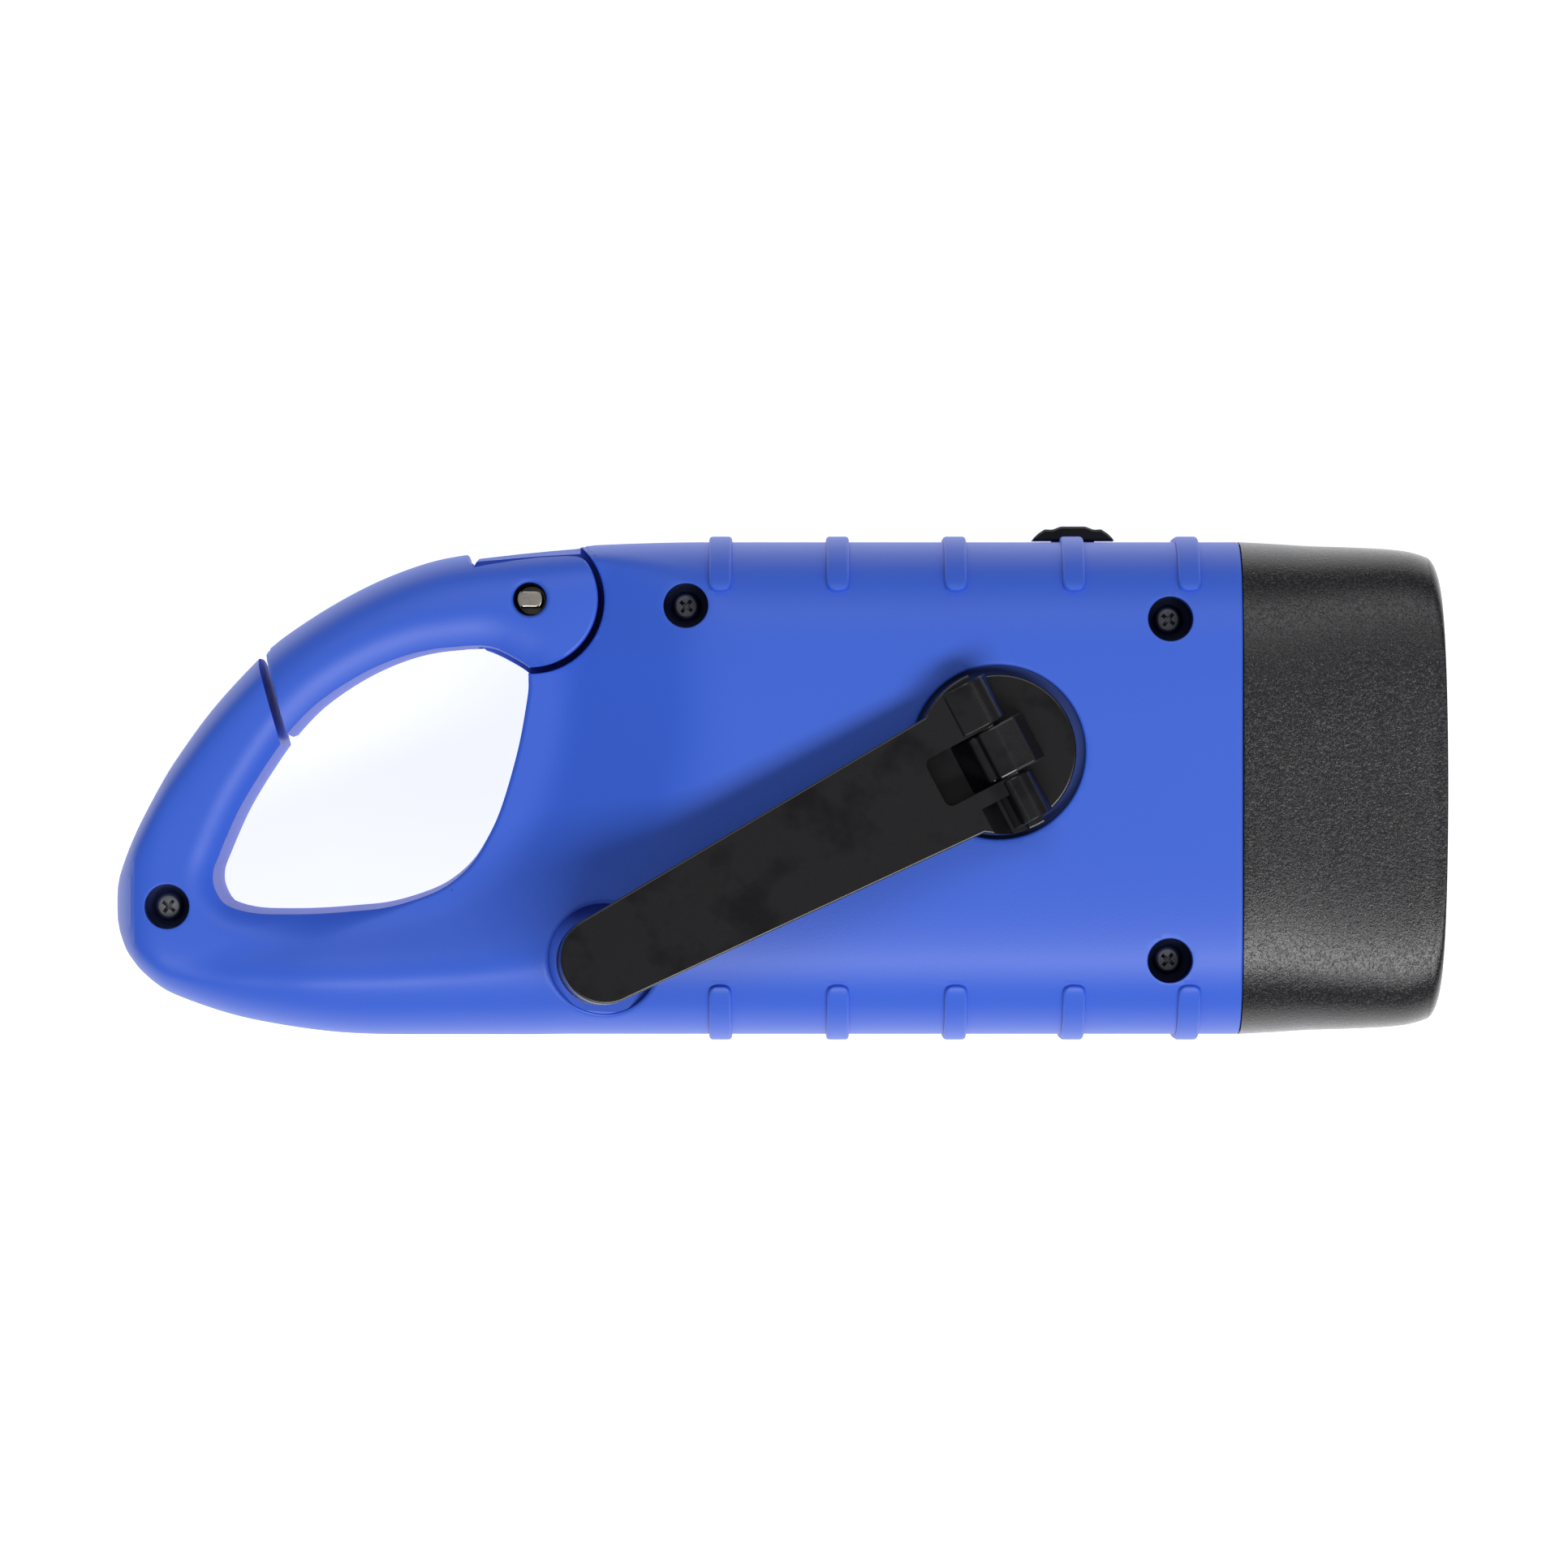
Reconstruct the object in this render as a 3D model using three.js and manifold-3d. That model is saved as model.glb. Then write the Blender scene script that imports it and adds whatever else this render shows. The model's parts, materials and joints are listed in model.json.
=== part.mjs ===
// Hand crank flashlight with a carabiner handle, lying on its back with the crank on top.
// Millimetres. +X runs to the lamp, +Y to the slide switch, +Z up through the crank.
// The origin is on the flat back face, under the middle of the overall length.
import * as THREE from 'three';
import { mergeVertices } from 'three/addons/utils/BufferGeometryUtils.js';
import Module from 'manifold-3d';

const wasm = await Module();
wasm.setup();

// Whole body
const overallLength = 136.7;
const bodyWidth = 50.3;
const bodyThickness = 36;
const handleThickness = 24;
const gateThickness = 28;
const bezelLength = 21.5;
const wall = 2;
const crown = 0.25;
const tailX = -overallLength / 2;
const frontX = overallLength / 2;
const seamX = frontX - bezelLength;
const halfWidth = bodyWidth / 2;
const halfThick = bodyThickness / 2;
const handleHalf = handleThickness / 2;
const gateHalf = gateThickness / 2;
const midZ = halfThick;
const faceZ = bodyThickness;
const handleTopZ = midZ + handleHalf;
const gateTopZ = midZ + gateHalf;
const gap = 0.3;
const runningGap = 0.3;
const overrun = 8;

// Roundness of the sections and how finely curves are cut
const sectionPower = 4;
const sectionPoints = 32;
const stationsPerRow = 1;
const roundSides = 20;
const smallSides = 12;

// Outline of both long edges, from the tail to where the body runs straight.
// Each row: place along the length, top edge, bottom edge, share of the full thickness.
const bodyRowShares = [
  [0.0024, -0.184, -0.285, 0.42], [0.0085, -0.137, -0.330, 0.55], [0.0207, -0.063, -0.374, 0.62],
  [0.0329, 0.000, -0.402, 0.655], [0.0451, 0.056, -0.4205, 0.68], [0.0695, 0.149, -0.4455, 0.725],
  [0.0939, 0.225, -0.465, 0.765], [0.1183, 0.290, -0.4785, 0.80], [0.1427, 0.338, -0.489, 0.83],
  [0.1671, 0.379, -0.4965, 0.845], [0.1915, 0.414, -0.5, 0.855], [0.2159, 0.442, -0.501, 0.865],
  [0.2402, 0.463, -0.501, 0.875], [0.2646, 0.475, -0.501, 0.89], [0.2890, 0.481, -0.501, 0.905],
  [0.3134, 0.487, -0.501, 0.925], [0.3378, 0.491, -0.5, 0.95], [0.3744, 0.496, -0.5, 0.98],
  [0.4110, 0.499, -0.5, 0.995], [0.4354, 0.5, -0.5, 1.0],
];

// Opening of the carabiner, its rounded rim and the dish round it
const eyeShares = [
  [0.0768, -0.172], [0.0799, -0.205], [0.0878, -0.2285], [0.1061, -0.2425], [0.1305, -0.245],
  [0.1549, -0.2435], [0.1793, -0.2385], [0.2037, -0.2315], [0.2280, -0.2135], [0.2476, -0.190],
  [0.2646, -0.152], [0.2768, -0.104], [0.2890, -0.0315], [0.3012, 0.083], [0.3079, 0.1805],
  [0.3091, 0.220], [0.3061, 0.240], [0.2768, 0.280], [0.2524, 0.280], [0.2280, 0.270],
  [0.2037, 0.248], [0.1793, 0.2145], [0.1549, 0.169], [0.1378, 0.124], [0.1238, 0.076],
  [0.1061, 0.003], [0.0939, -0.056], [0.0817, -0.1325],
];
const eyeRim = 2;
const dishShares = [
  [-0.06, 0.60], [0.335, 0.60], [0.339, 0.28], [0.337, 0.12], [0.324, -0.02], [0.299, -0.14],
  [0.259, -0.22], [0.207, -0.26], [0.149, -0.284], [0.098, -0.334], [0.054, -0.378], [-0.06, -0.44],
];
const dishFlare = 14;
const hollowStartShare = 0.345;

// Gate, its pin and its socket
const gatePivotShares = [0.3115, 0.381];
const gateHeelRadius = 6.9;
const gateGap = 0.4;
const gateSocketRadius = gateHeelRadius + gateGap;
const webHalf = 4.5;
const gateSlotHalf = webHalf + gap;
const gateEndShares = [[0.1078, 0.262], [0.1262, 0.086]];
const gateEndGap = 0.95;
const gateFloorShare = 0.12;
const gateNeckShares = [0.5, 0.567];
const gateCrownShare = 0.72;
const gateCornerShare = 0.75;
const gateTopShare = 0.945;
const gatePinRadius = 1.25;
const gatePinFlat = 0.85;
const gatePinDepth = 0.9;
const gateRecessRadius = 1.65;
const gateRecessDepth = 1.2;
const springWire = 0.6;
const springRadius = 2.2;
const springTurns = 4;
const springSteps = 8;
const springSides = 5;
const springPitchShare = 1.25;
const springLegShare = 0.4;
const springPocketRadius = 3.1;
const springPocketHalf = 3;

// Ribs on the long edges
const ribShares = [0.4527, 0.5399, 0.6271, 0.7146, 0.8];
const ribWidth = 2.25;
const ribHeight = 0.6;
const ribReach = 5.3;
const ribSwitchGap = 0.7;

// Case screws: place of each, head, shaft and the depth of the round recess
const caseScrewShares = [[0.4274, 0.367], [0.7855, 0.340], [0.7852, -0.3465]];
const tailScrewShares = [0.0419, -0.239];
const screwRecessRadius = 2.25;
const screwSeatDepth = 9;
const tailSeatDepth = 5;
const screwHeadRadius = 1.85;
const screwHeadHeight = 1.4;
const screwCrossWidth = 0.5;
const screwCrossDepth = 0.7;
const screwShaftRadius = 0.95;
const screwBoreRadius = screwShaftRadius + gap;
const screwBossRadius = 3.4;
const screwTipLength = 1.5;
const screwCrossShare = 0.78;
const screwDomeShare = 0.9;

// Crank: place, recess, disc, hinge, arm and knob
const crankShares = [0.6583, 0.0727];
const crankRecessRadius = 8.76;
const crankRecessDepth = 2.2;
const crankFloor = 1.8;
const discRadius = 7.85;
const discThickness = 1.5;
const discGap = 0.35;
const crankShaftRadius = 2;
const armAngle = THREE.MathUtils.degToRad(207.7);
const restLift = THREE.MathUtils.degToRad(6);
const knuckleRadius = 2.2;
const knuckleGap = 0.45;
const lugHalfWidth = 2.6;
const lugHalfLength = 3.8;
const lugFootHeight = 1.5;
const lugCrownShare = 0.06;
const lugSides = 6;
const hingePinRadius = 0.8;
const armThickness = 3;
const armHingeShare = 0.45;
const armLength = 45;
const armTipRadius = 4.1;
const armRootHalf = 6.5;
const armRootX = 5.6;
const armHeadRadius = 8.1;
const armWindowHalf = lugHalfWidth + 0.5;
const armWindowEnd = 7.8;
const armWindowCorner = 1.2;
const armCornerSides = 4;
const knobRadius = 3.9;
const knobHeight = 4.2;
const knobPinRadius = 1.1;
const knobHeadRadius = 2.2;
const knobHeadHeight = 0.9;
const knobHeadDepth = 0.55;
const knobChamfer = 0.45;
const knobPinReach = 1;
const knobGap = 0.35;
const pocketRadius = 5.6;

// Gear train: teeth, modules, widths and the angles from shaft to shaft
const driveTeeth = 40;
const driveModule = 0.7;
const stepTeeth = 30;
const stepModule = 0.6;
const pinionTeeth = 10;
const rootToothShare = 0.62;
const tipToothShare = 0.17;
const addendumShare = 0.85;
const dedendumShare = 1.15;
const gearWidth = 2.4;
const levelGap = 1;
const driveLevelZ = 27.8;
const stepOneAngle = THREE.MathUtils.degToRad(190);
const stepTwoAngle = THREE.MathUtils.degToRad(206);
const rotorAngle = THREE.MathUtils.degToRad(-2);
const axleRadius = 0.8;
const axleBossRadius = 2;
const axleBossGap = 0.4;
const plateThickness = 1.6;
const plateLevelZ = 17;
const plateEndShares = [-0.135, 0.19];
const plateScrewShares = [[-0.1134, 0.159], [0.1315, -0.338]];
const plateScrewHead = 1.6;
const plateScrewHeadHeight = 0.9;
const plateScrewShaft = 0.7;
const plateScrewLength = 7;
const plateBossRadius = 2.4;

// Crank bearing and the clip that holds the drive gear
const bushWall = 0.9;
const bushGap = 0.08;
const bushFlange = 1.3;
const bushFlangeThickness = 0.7;
const clipWidth = 1;
const clipHeight = 1;

// Generator
const rotorRadius = 6.5;
const rotorHeight = 5.5;
const coilInner = 7.1;
const coilOuter = 9.8;
const coilHeight = 6.5;
const canRadius = 11.2;
const canWall = 0.8;
const canHeight = 11.2;

// Battery and its cradle
const cellRadius = 5.8;
const cellLength = 5.4;
const cellCount = 3;
const cellStep = 0.25;
const batteryShare = -0.13;
const batteryEndGap = 1;
const cradleFloor = 1.1;
const cradleHeight = 5;
const cradleHalf = 6.3;

// Circuit board and slide switch
const boardThickness = 1.2;
const boardLength = 12;
const boardHeight = 11;
const boardInset = 5.3;
const switchShare = 0.7165;
const switchBodySize = [8, 2.2, 5];
const sliderLength = 8.4;
const sliderHeight = 1.65;
const sliderWidth = 5;
const sliderTravel = 1.5;
const sliderStem = [4.4, 2.4];
const sliderShares = [
  [-0.5, 0], [-0.33, 0.9], [-0.24, 0.9], [-0.2, 0.72], [-0.14, 1], [0.14, 1], [0.19, 0.74],
  [0.24, 0.9], [0.33, 0.9], [0.5, 0],
];

// Lamp
const lampWall = 2.2;
const spigotLength = 3.4;
const bezelRowShares = [
  [0, 1, 1], [0.34, 0.984, 0.975], [0.7, 0.974, 0.95], [0.857, 0.958, 0.94], [0.9, 0.946, 0.93],
  [0.938, 0.93, 0.92], [0.957, 0.899, 0.9], [0.977, 0.811, 0.86], [0.9926, 0.64, 0.8], [1, 0.4, 0.74],
];
const windowShares = [0.84, 0.76];
const windowCorner = 6.5;
const windowSides = 5;
const lensThickness = 1.6;
const lensDepth = 2.2;
const lensSeat = 0.9;
const reflectorDepth = 9;
const reflectorInset = 1.2;
const cupSpacing = 12.6;
const cupFront = 5.9;
const cupBack = 2.9;
const ledRadius = 2.5;
const ledLength = 6;
const ledFlange = 2.8;
const ledFlangeThickness = 0.3;
const ledDomeSteps = 4;
const ledBoardThickness = 1.6;

// Places worked out from the shares
const placeX = (share) => tailX + overallLength * share;
const placeY = (share) => bodyWidth * share;
const place = ([x, y]) => new THREE.Vector2(placeX(x), placeY(y));
const crankPlace = place(crankShares);
const switchX = placeX(switchShare);
const boardY = halfWidth - boardInset;
const gatePivot = place(gatePivotShares);
const recessFloorZ = faceZ - crankRecessDepth;
const crankFloorZ = recessFloorZ - crankFloor;
const discZ = recessFloorZ + discGap;
const discTopZ = discZ + discThickness;
const hingeZ = discTopZ + knuckleGap + knuckleRadius;
const armBottomZ = hingeZ - armThickness * armHingeShare;
const knobBottomZ = armBottomZ - knobGap - knobHeight + knobHeadDepth - gap - knobHeadHeight;
const pocketFloorZ = knobBottomZ - gap;
const knobPlace = new THREE.Vector2(
  crankPlace.x + armLength * Math.cos(armAngle),
  crankPlace.y + armLength * Math.sin(armAngle),
);

// Colours and finishes
const blue = { color: 0x4264d2, roughness: 0.45, metalness: 0 };
const black = { color: 0x222224, roughness: 0.4, metalness: 0 };
const grained = { color: 0x303033, roughness: 0.6, metalness: 0 };
const steel = { color: 0xb8b2a8, roughness: 0.3, metalness: 1 };
const darkSteel = { color: 0x5c5f66, roughness: 0.4, metalness: 1 };
const nylon = { color: 0xe8e4d8, roughness: 0.5, metalness: 0 };
const copper = { color: 0xb5703a, roughness: 0.4, metalness: 1 };
const ferrite = { color: 0x3a3a3e, roughness: 0.7, metalness: 0 };
const greenBoard = { color: 0x1f6b3a, roughness: 0.5, metalness: 0 };
const sleeve = { color: 0x3f9b5c, roughness: 0.4, metalness: 0 };
const mirror = { color: 0xdedfe2, roughness: 0.1, metalness: 1 };
const clear = { color: 0xeaf2f6, roughness: 0.05, metalness: 0, transparent: true, opacity: 0.35 };
const ledClear = { color: 0xf6f2dc, roughness: 0.1, metalness: 0 };
const bronze = { color: 0xa87b42, roughness: 0.4, metalness: 1 };

// A closed geometry as a solid that can be cut and joined, and back again
function solidOf(geometry) {
  const bare = geometry.index ? geometry.toNonIndexed() : geometry.clone();
  bare.deleteAttribute('normal');
  bare.deleteAttribute('uv');
  const merged = mergeVertices(bare);
  return new wasm.Manifold(new wasm.Mesh({
    numProp: 3,
    vertProperties: new Float32Array(merged.attributes.position.array),
    triVerts: new Uint32Array(merged.index.array),
  }));
}

function geometryOf(solid) {
  const mesh = solid.getMesh();
  const geometry = new THREE.BufferGeometry();
  geometry.setAttribute('position', new THREE.BufferAttribute(new Float32Array(mesh.vertProperties), 3));
  geometry.setIndex(new THREE.BufferAttribute(new Uint32Array(mesh.triVerts), 1));
  return geometry;
}

// Simple solids
function box(x0, x1, y0, y1, z0, z1) {
  const geometry = new THREE.BoxGeometry(x1 - x0, y1 - y0, z1 - z0);
  geometry.translate((x0 + x1) / 2, (y0 + y1) / 2, (z0 + z1) / 2);
  return solidOf(geometry);
}

function rod(x, y, radius, z0, z1, sides = smallSides, topRadius = radius) {
  const geometry = new THREE.CylinderGeometry(topRadius, radius, z1 - z0, sides);
  geometry.rotateX(Math.PI / 2);
  geometry.translate(x, y, (z0 + z1) / 2);
  return solidOf(geometry);
}

function rodAlongX(x0, x1, y, z, radius, sides = smallSides, endRadius = radius) {
  const geometry = new THREE.CylinderGeometry(endRadius, radius, x1 - x0, sides);
  geometry.rotateZ(-Math.PI / 2);
  geometry.translate((x0 + x1) / 2, y, z);
  return solidOf(geometry);
}

function prism(points, z0, z1) {
  const geometry = new THREE.ExtrudeGeometry(new THREE.Shape(points), {
    depth: z1 - z0,
    bevelEnabled: false,
    curveSegments: smallSides,
  });
  geometry.translate(0, 0, z0);
  return solidOf(geometry);
}

// A prism that widens over its last stretch, towards +Z when side is 1 and -Z when it is -1
function flaredPrism(points, endZ, flare, depth, side, inset = 0) {
  const geometry = new THREE.ExtrudeGeometry(new THREE.Shape(points), {
    depth: overrun,
    bevelThickness: depth,
    bevelSize: flare,
    bevelOffset: inset,
    bevelSegments: 1,
    curveSegments: smallSides,
  });
  geometry.translate(0, 0, depth);
  if (side < 0) {
    geometry.rotateX(Math.PI);
    geometry.scale(1, -1, 1);
    flip(geometry);
  }
  geometry.translate(0, 0, endZ - side * depth);
  return solidOf(geometry);
}

function flip(geometry) {
  const position = geometry.attributes.position;
  const corner = new THREE.Vector3();
  const other = new THREE.Vector3();
  for (let i = 0; i < position.count; i += 3) {
    corner.fromBufferAttribute(position, i);
    other.fromBufferAttribute(position, i + 1);
    position.setXYZ(i, other.x, other.y, other.z);
    position.setXYZ(i + 1, corner.x, corner.y, corner.z);
  }
}

function smooth(points, count) {
  return new THREE.CatmullRomCurve3(points.map((p) => new THREE.Vector3(p.x, p.y, 0)), true)
    .getPoints(count).slice(0, -1).map((p) => new THREE.Vector2(p.x, p.y));
}

// Skin through rounded sections that stand across X, closed by a point or a flat end
function loft(sections) {
  const positions = [];
  const triangles = [];
  for (const s of sections) {
    for (let i = 0; i < sectionPoints; i += 1) {
      const angle = (i / sectionPoints) * 2 * Math.PI;
      const across = Math.sign(Math.cos(angle)) * Math.abs(Math.cos(angle)) ** (2 / sectionPower);
      const up = Math.sign(Math.sin(angle)) * Math.abs(Math.sin(angle)) ** (2 / sectionPower);
      positions.push(s.x, s.y + s.half * across, midZ + s.rise * up);
    }
  }
  const ring = (k, i) => k * sectionPoints + (i % sectionPoints);
  for (let k = 0; k + 1 < sections.length; k += 1) {
    for (let i = 0; i < sectionPoints; i += 1) {
      triangles.push(ring(k, i), ring(k, i + 1), ring(k + 1, i + 1));
      triangles.push(ring(k, i), ring(k + 1, i + 1), ring(k + 1, i));
    }
  }
  const first = sections[0];
  const last = sections[sections.length - 1];
  const firstPoint = positions.length / 3;
  positions.push(first.tipX ?? first.x, first.y, midZ, last.tipX ?? last.x, last.y, midZ);
  for (let i = 0; i < sectionPoints; i += 1) {
    triangles.push(firstPoint, ring(0, i + 1), ring(0, i));
    triangles.push(firstPoint + 1, ring(sections.length - 1, i), ring(sections.length - 1, i + 1));
  }
  const geometry = new THREE.BufferGeometry();
  geometry.setAttribute('position', new THREE.BufferAttribute(new Float32Array(positions), 3));
  geometry.setIndex(triangles);
  return solidOf(geometry);
}

// Sections of the body from the tail to endX, drawn in by a wall, or grown where the wall is negative
function bodySections(thicknessShare, inset, endX) {
  const rows = bodyRowShares.length - 1;
  const edge = (column) => new THREE.SplineCurve(
    bodyRowShares.map((row) => new THREE.Vector2(row[0], row[column])));
  const [top, bottom, rise] = [edge(1), edge(2), edge(3)];
  const sections = [];
  for (let k = 0; k <= rows * stationsPerRow; k += 1) {
    const t = k / (rows * stationsPerRow);
    const high = placeY(top.getPoint(t).y) - inset;
    const low = placeY(bottom.getPoint(t).y) + inset;
    const share = Math.min(rise.getPoint(t).y, thicknessShare);
    sections.push({
      x: placeX(top.getPoint(t).x),
      y: (high + low) / 2,
      half: (high - low) / 2,
      rise: (halfThick + crown) * share - inset,
    });
  }
  const kept = sections.filter((s) => s.half > Math.max(inset, 0) && s.rise > Math.max(inset, 0));
  kept[0].tipX = inset > 0 ? kept[0].x : tailX + inset;
  kept.push({ ...kept[kept.length - 1], x: endX });
  return kept;
}

const trimFaces = (solid) => solid.intersect(box(
  tailX - overrun, frontX + overrun, -bodyWidth, bodyWidth, 0, faceZ));

const bodyBlank = trimFaces(loft(bodySections(1, 0, seamX)));
const gateBlank = loft(bodySections(gateHalf / halfThick, 0, seamX));
const upperHalf = box(tailX - overrun, frontX, -bodyWidth, bodyWidth, midZ, faceZ + overrun);
const lowerHalf = box(tailX - overrun, frontX, -bodyWidth, bodyWidth, -overrun, midZ);

// Cutters shared by both shells and the gate
const eyeOutline = smooth(eyeShares.map(place), eyeShares.length);
const dishOutline = smooth(dishShares.map(place), dishShares.length * 2);

function eyeCutter(half) {
  const through = prism(eyeOutline, -overrun, faceZ + overrun);
  return through
    .add(flaredPrism(eyeOutline, midZ + half, eyeRim, eyeRim, 1))
    .add(flaredPrism(eyeOutline, midZ - half, eyeRim, eyeRim, -1));
}

function dishCutter(inset) {
  const depth = halfThick - handleHalf;
  const top = flaredPrism(dishOutline, faceZ - inset, dishFlare, depth, 1, inset);
  const bottom = flaredPrism(dishOutline, inset, dishFlare, depth, -1, inset);
  return top.add(bottom);
}

// Plan shape of the gate's solid part, and of the socket cut for it
function gatePlan(grow) {
  const { x, y } = gatePivot;
  const [outer, inner] = gateEndShares.map(place);
  const along = inner.clone().sub(outer).normalize();
  const shift = new THREE.Vector2(-along.y, along.x).multiplyScalar(gateEndGap - grow);
  const start = outer.clone().add(shift).addScaledVector(along, -overrun);
  const end = inner.clone().add(shift).addScaledVector(along, overrun / 2);
  return [
    start,
    end,
    new THREE.Vector2(end.x + overrun, placeY(gateFloorShare) - grow),
    new THREE.Vector2(x - gateSocketRadius, y - gateSocketRadius),
    new THREE.Vector2(x - gateSocketRadius * gateNeckShares[0], y - gateSocketRadius * gateNeckShares[1]),
    new THREE.Vector2(x - gateSocketRadius * gateCrownShare, halfWidth + overrun),
    new THREE.Vector2(start.x, halfWidth + overrun),
  ];
}

// The socket is open over and under the web, and the gate's solid part starts where the web ends
function gateSocket() {
  const { x, y } = gatePivot;
  const round = rod(x, y, gateSocketRadius, midZ + webHalf, faceZ + overrun, roundSides)
    .add(rod(x, y, gateSocketRadius, -overrun, midZ - webHalf, roundSides));
  const cheekRoom = prism(gatePlan(0), midZ + webHalf, faceZ + overrun)
    .add(prism(gatePlan(0), -overrun, midZ - webHalf));
  const core = rod(x, y, gateHeelRadius, -overrun, faceZ + overrun, roundSides);
  const arm = prism(gatePlan(gateEndGap), -overrun, faceZ + overrun).subtract(core);
  const above = cornerAbove(midZ + webHalf, faceZ + overrun)
    .add(cornerAbove(-overrun, midZ - webHalf));
  return round.add(cheekRoom).add(arm).add(above);
}

// Room over the web between the heel and the long edge
function cornerAbove(z0, z1) {
  const { x, y } = gatePivot;
  return box(x - gateSocketRadius, x + gateHeelRadius * gateCornerShare, y, halfWidth + overrun, z0, z1);
}

function makeGate() {
  const { x, y } = gatePivot;
  const heel = rod(x, y, gateHeelRadius, 0, faceZ, roundSides);
  const slot = rod(x, y, gateSocketRadius, midZ - gateSlotHalf, midZ + gateSlotHalf, roundSides);
  const recess = rod(x, y, gateRecessRadius, gateTopZ - gateRecessDepth, faceZ, roundSides)
    .add(rod(x, y, gateRecessRadius, 0, midZ - gateHalf + gateRecessDepth, roundSides));
  return prism(gatePlan(0), 0, faceZ)
    .add(heel)
    .intersect(gateBlank)
    .intersect(box(tailX, frontX, -bodyWidth, halfWidth * gateTopShare, 0, faceZ).add(
      box(tailX, x - gateHeelRadius, 0, halfWidth, 0, faceZ)))
    .intersect(box(tailX, frontX, -bodyWidth, bodyWidth, midZ - gateHalf, gateTopZ))
    .subtract(eyeCutter(gateHalf))
    .subtract(slot)
    .subtract(recess)
    .subtract(rod(x, y, gatePinRadius + runningGap, 0, faceZ, smallSides));
}

function makeGatePin() {
  const top = gateTopZ - gatePinDepth;
  const bottom = midZ - gateHalf + gatePinDepth;
  const { x, y } = gatePivot;
  const flats = box(x - gatePinRadius, x + gatePinRadius, y - gatePinFlat, y + gatePinFlat, bottom, top);
  return rod(x, y, gatePinRadius, bottom, top, roundSides).intersect(flats);
}

// One tube along a coil whose two legs run out straight
function makeGateSpring() {
  const points = [];
  const steps = springTurns * springSteps;
  const pitch = springWire * springPitchShare;
  const low = midZ - (springTurns * pitch) / 2;
  const leg = springPocketRadius * springLegShare;
  points.push(new THREE.Vector3(gatePivot.x + springRadius, gatePivot.y - leg, low));
  for (let i = 0; i <= steps; i += 1) {
    const angle = (i / springSteps) * 2 * Math.PI;
    points.push(new THREE.Vector3(
      gatePivot.x + springRadius * Math.cos(angle),
      gatePivot.y + springRadius * Math.sin(angle),
      low + (pitch * i) / springSteps,
    ));
  }
  const top = low + pitch * springTurns;
  points.push(new THREE.Vector3(gatePivot.x + springRadius, gatePivot.y + leg, top));
  const corners = [];
  for (let i = 0; i < springSides; i += 1) {
    const angle = (i / springSides) * 2 * Math.PI;
    corners.push(new THREE.Vector2(Math.cos(angle), Math.sin(angle)).multiplyScalar(springWire / 2));
  }
  return solidOf(new THREE.ExtrudeGeometry(new THREE.Shape(corners), {
    steps: points.length,
    extrudePath: new THREE.CatmullRomCurve3(points),
  }));
}

// Ribs: slices of a grown body, kept only near the long edges and clear of the switch
function ribs() {
  const grown = loft(bodySections(1, -ribHeight, seamX + ribWidth));
  const switchRoom = box(switchX - sliderLength, switchX + sliderLength, halfWidth - ribHeight,
    bodyWidth, midZ - sliderWidth / 2 - ribSwitchGap, midZ + sliderWidth / 2 + ribSwitchGap);
  let all = null;
  for (const share of ribShares) {
    const x = placeX(share);
    for (const side of [-1, 1]) {
      const near = halfWidth - ribReach;
      const slab = box(x - ribWidth / 2, x + ribWidth / 2,
        side > 0 ? near : -bodyWidth, side > 0 ? bodyWidth : -near, -overrun, faceZ + overrun);
      const rib = grown.intersect(slab);
      all = all ? all.add(rib) : rib;
    }
  }
  return all.subtract(switchRoom);
}

// Bosses and recesses, one screw at a time. Each case screw enters from the front.
const caseScrews = caseScrewShares.map((shares, i) => ({
  name: `shell_screw_${i + 1}`,
  at: place(shares),
  seatZ: faceZ - screwSeatDepth,
  topZ: faceZ,
}));
const tailScrew = {
  name: 'tail_screw',
  at: place(tailScrewShares),
  seatZ: handleTopZ - tailSeatDepth,
  topZ: handleTopZ,
};
const screws = [...caseScrews, tailScrew];
const tipZ = (screw) => midZ - (screw.seatZ - midZ) - screwTipLength;

function makeScrew(screw) {
  const { x, y } = screw.at;
  const headZ = screw.seatZ + gap;
  const crossZ = headZ + screwHeadHeight - screwCrossDepth;
  const long = screwHeadRadius * screwCrossShare;
  const cross = box(x - long, x + long, y - screwCrossWidth / 2, y + screwCrossWidth / 2,
    crossZ, headZ + screwHeadHeight + overrun)
    .add(box(x - screwCrossWidth / 2, x + screwCrossWidth / 2, y - long, y + long,
      crossZ, headZ + screwHeadHeight + overrun));
  const dome = screwHeadRadius * screwDomeShare;
  return rod(x, y, screwHeadRadius, headZ, headZ + screwHeadHeight, roundSides, dome)
    .add(rod(x, y, screwShaftRadius, tipZ(screw), headZ + screwHeadHeight / 2))
    .subtract(cross);
}

// Inside of the case: one hollow with bosses left standing in it
function cavity() {
  const inside = loft(bodySections(1, wall, seamX + spigotLength + overrun))
    .intersect(box(placeX(hollowStartShare), frontX, -bodyWidth, bodyWidth, wall, faceZ - wall));
  return inside.subtract(dishCutter(wall)).subtract(socketCore());
}

// Material kept round the gate's web
function socketCore() {
  return rod(gatePivot.x, gatePivot.y, gateSocketRadius + wall, -overrun, faceZ + overrun, roundSides);
}

// A straight rounded bar along X, drawn in from the outer skin
function roundedBar(x0, x1, inset) {
  const section = { y: 0, half: halfWidth - inset, rise: halfThick - inset };
  return loft([{ ...section, x: x0 }, { ...section, x: x1 }]);
}

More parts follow.
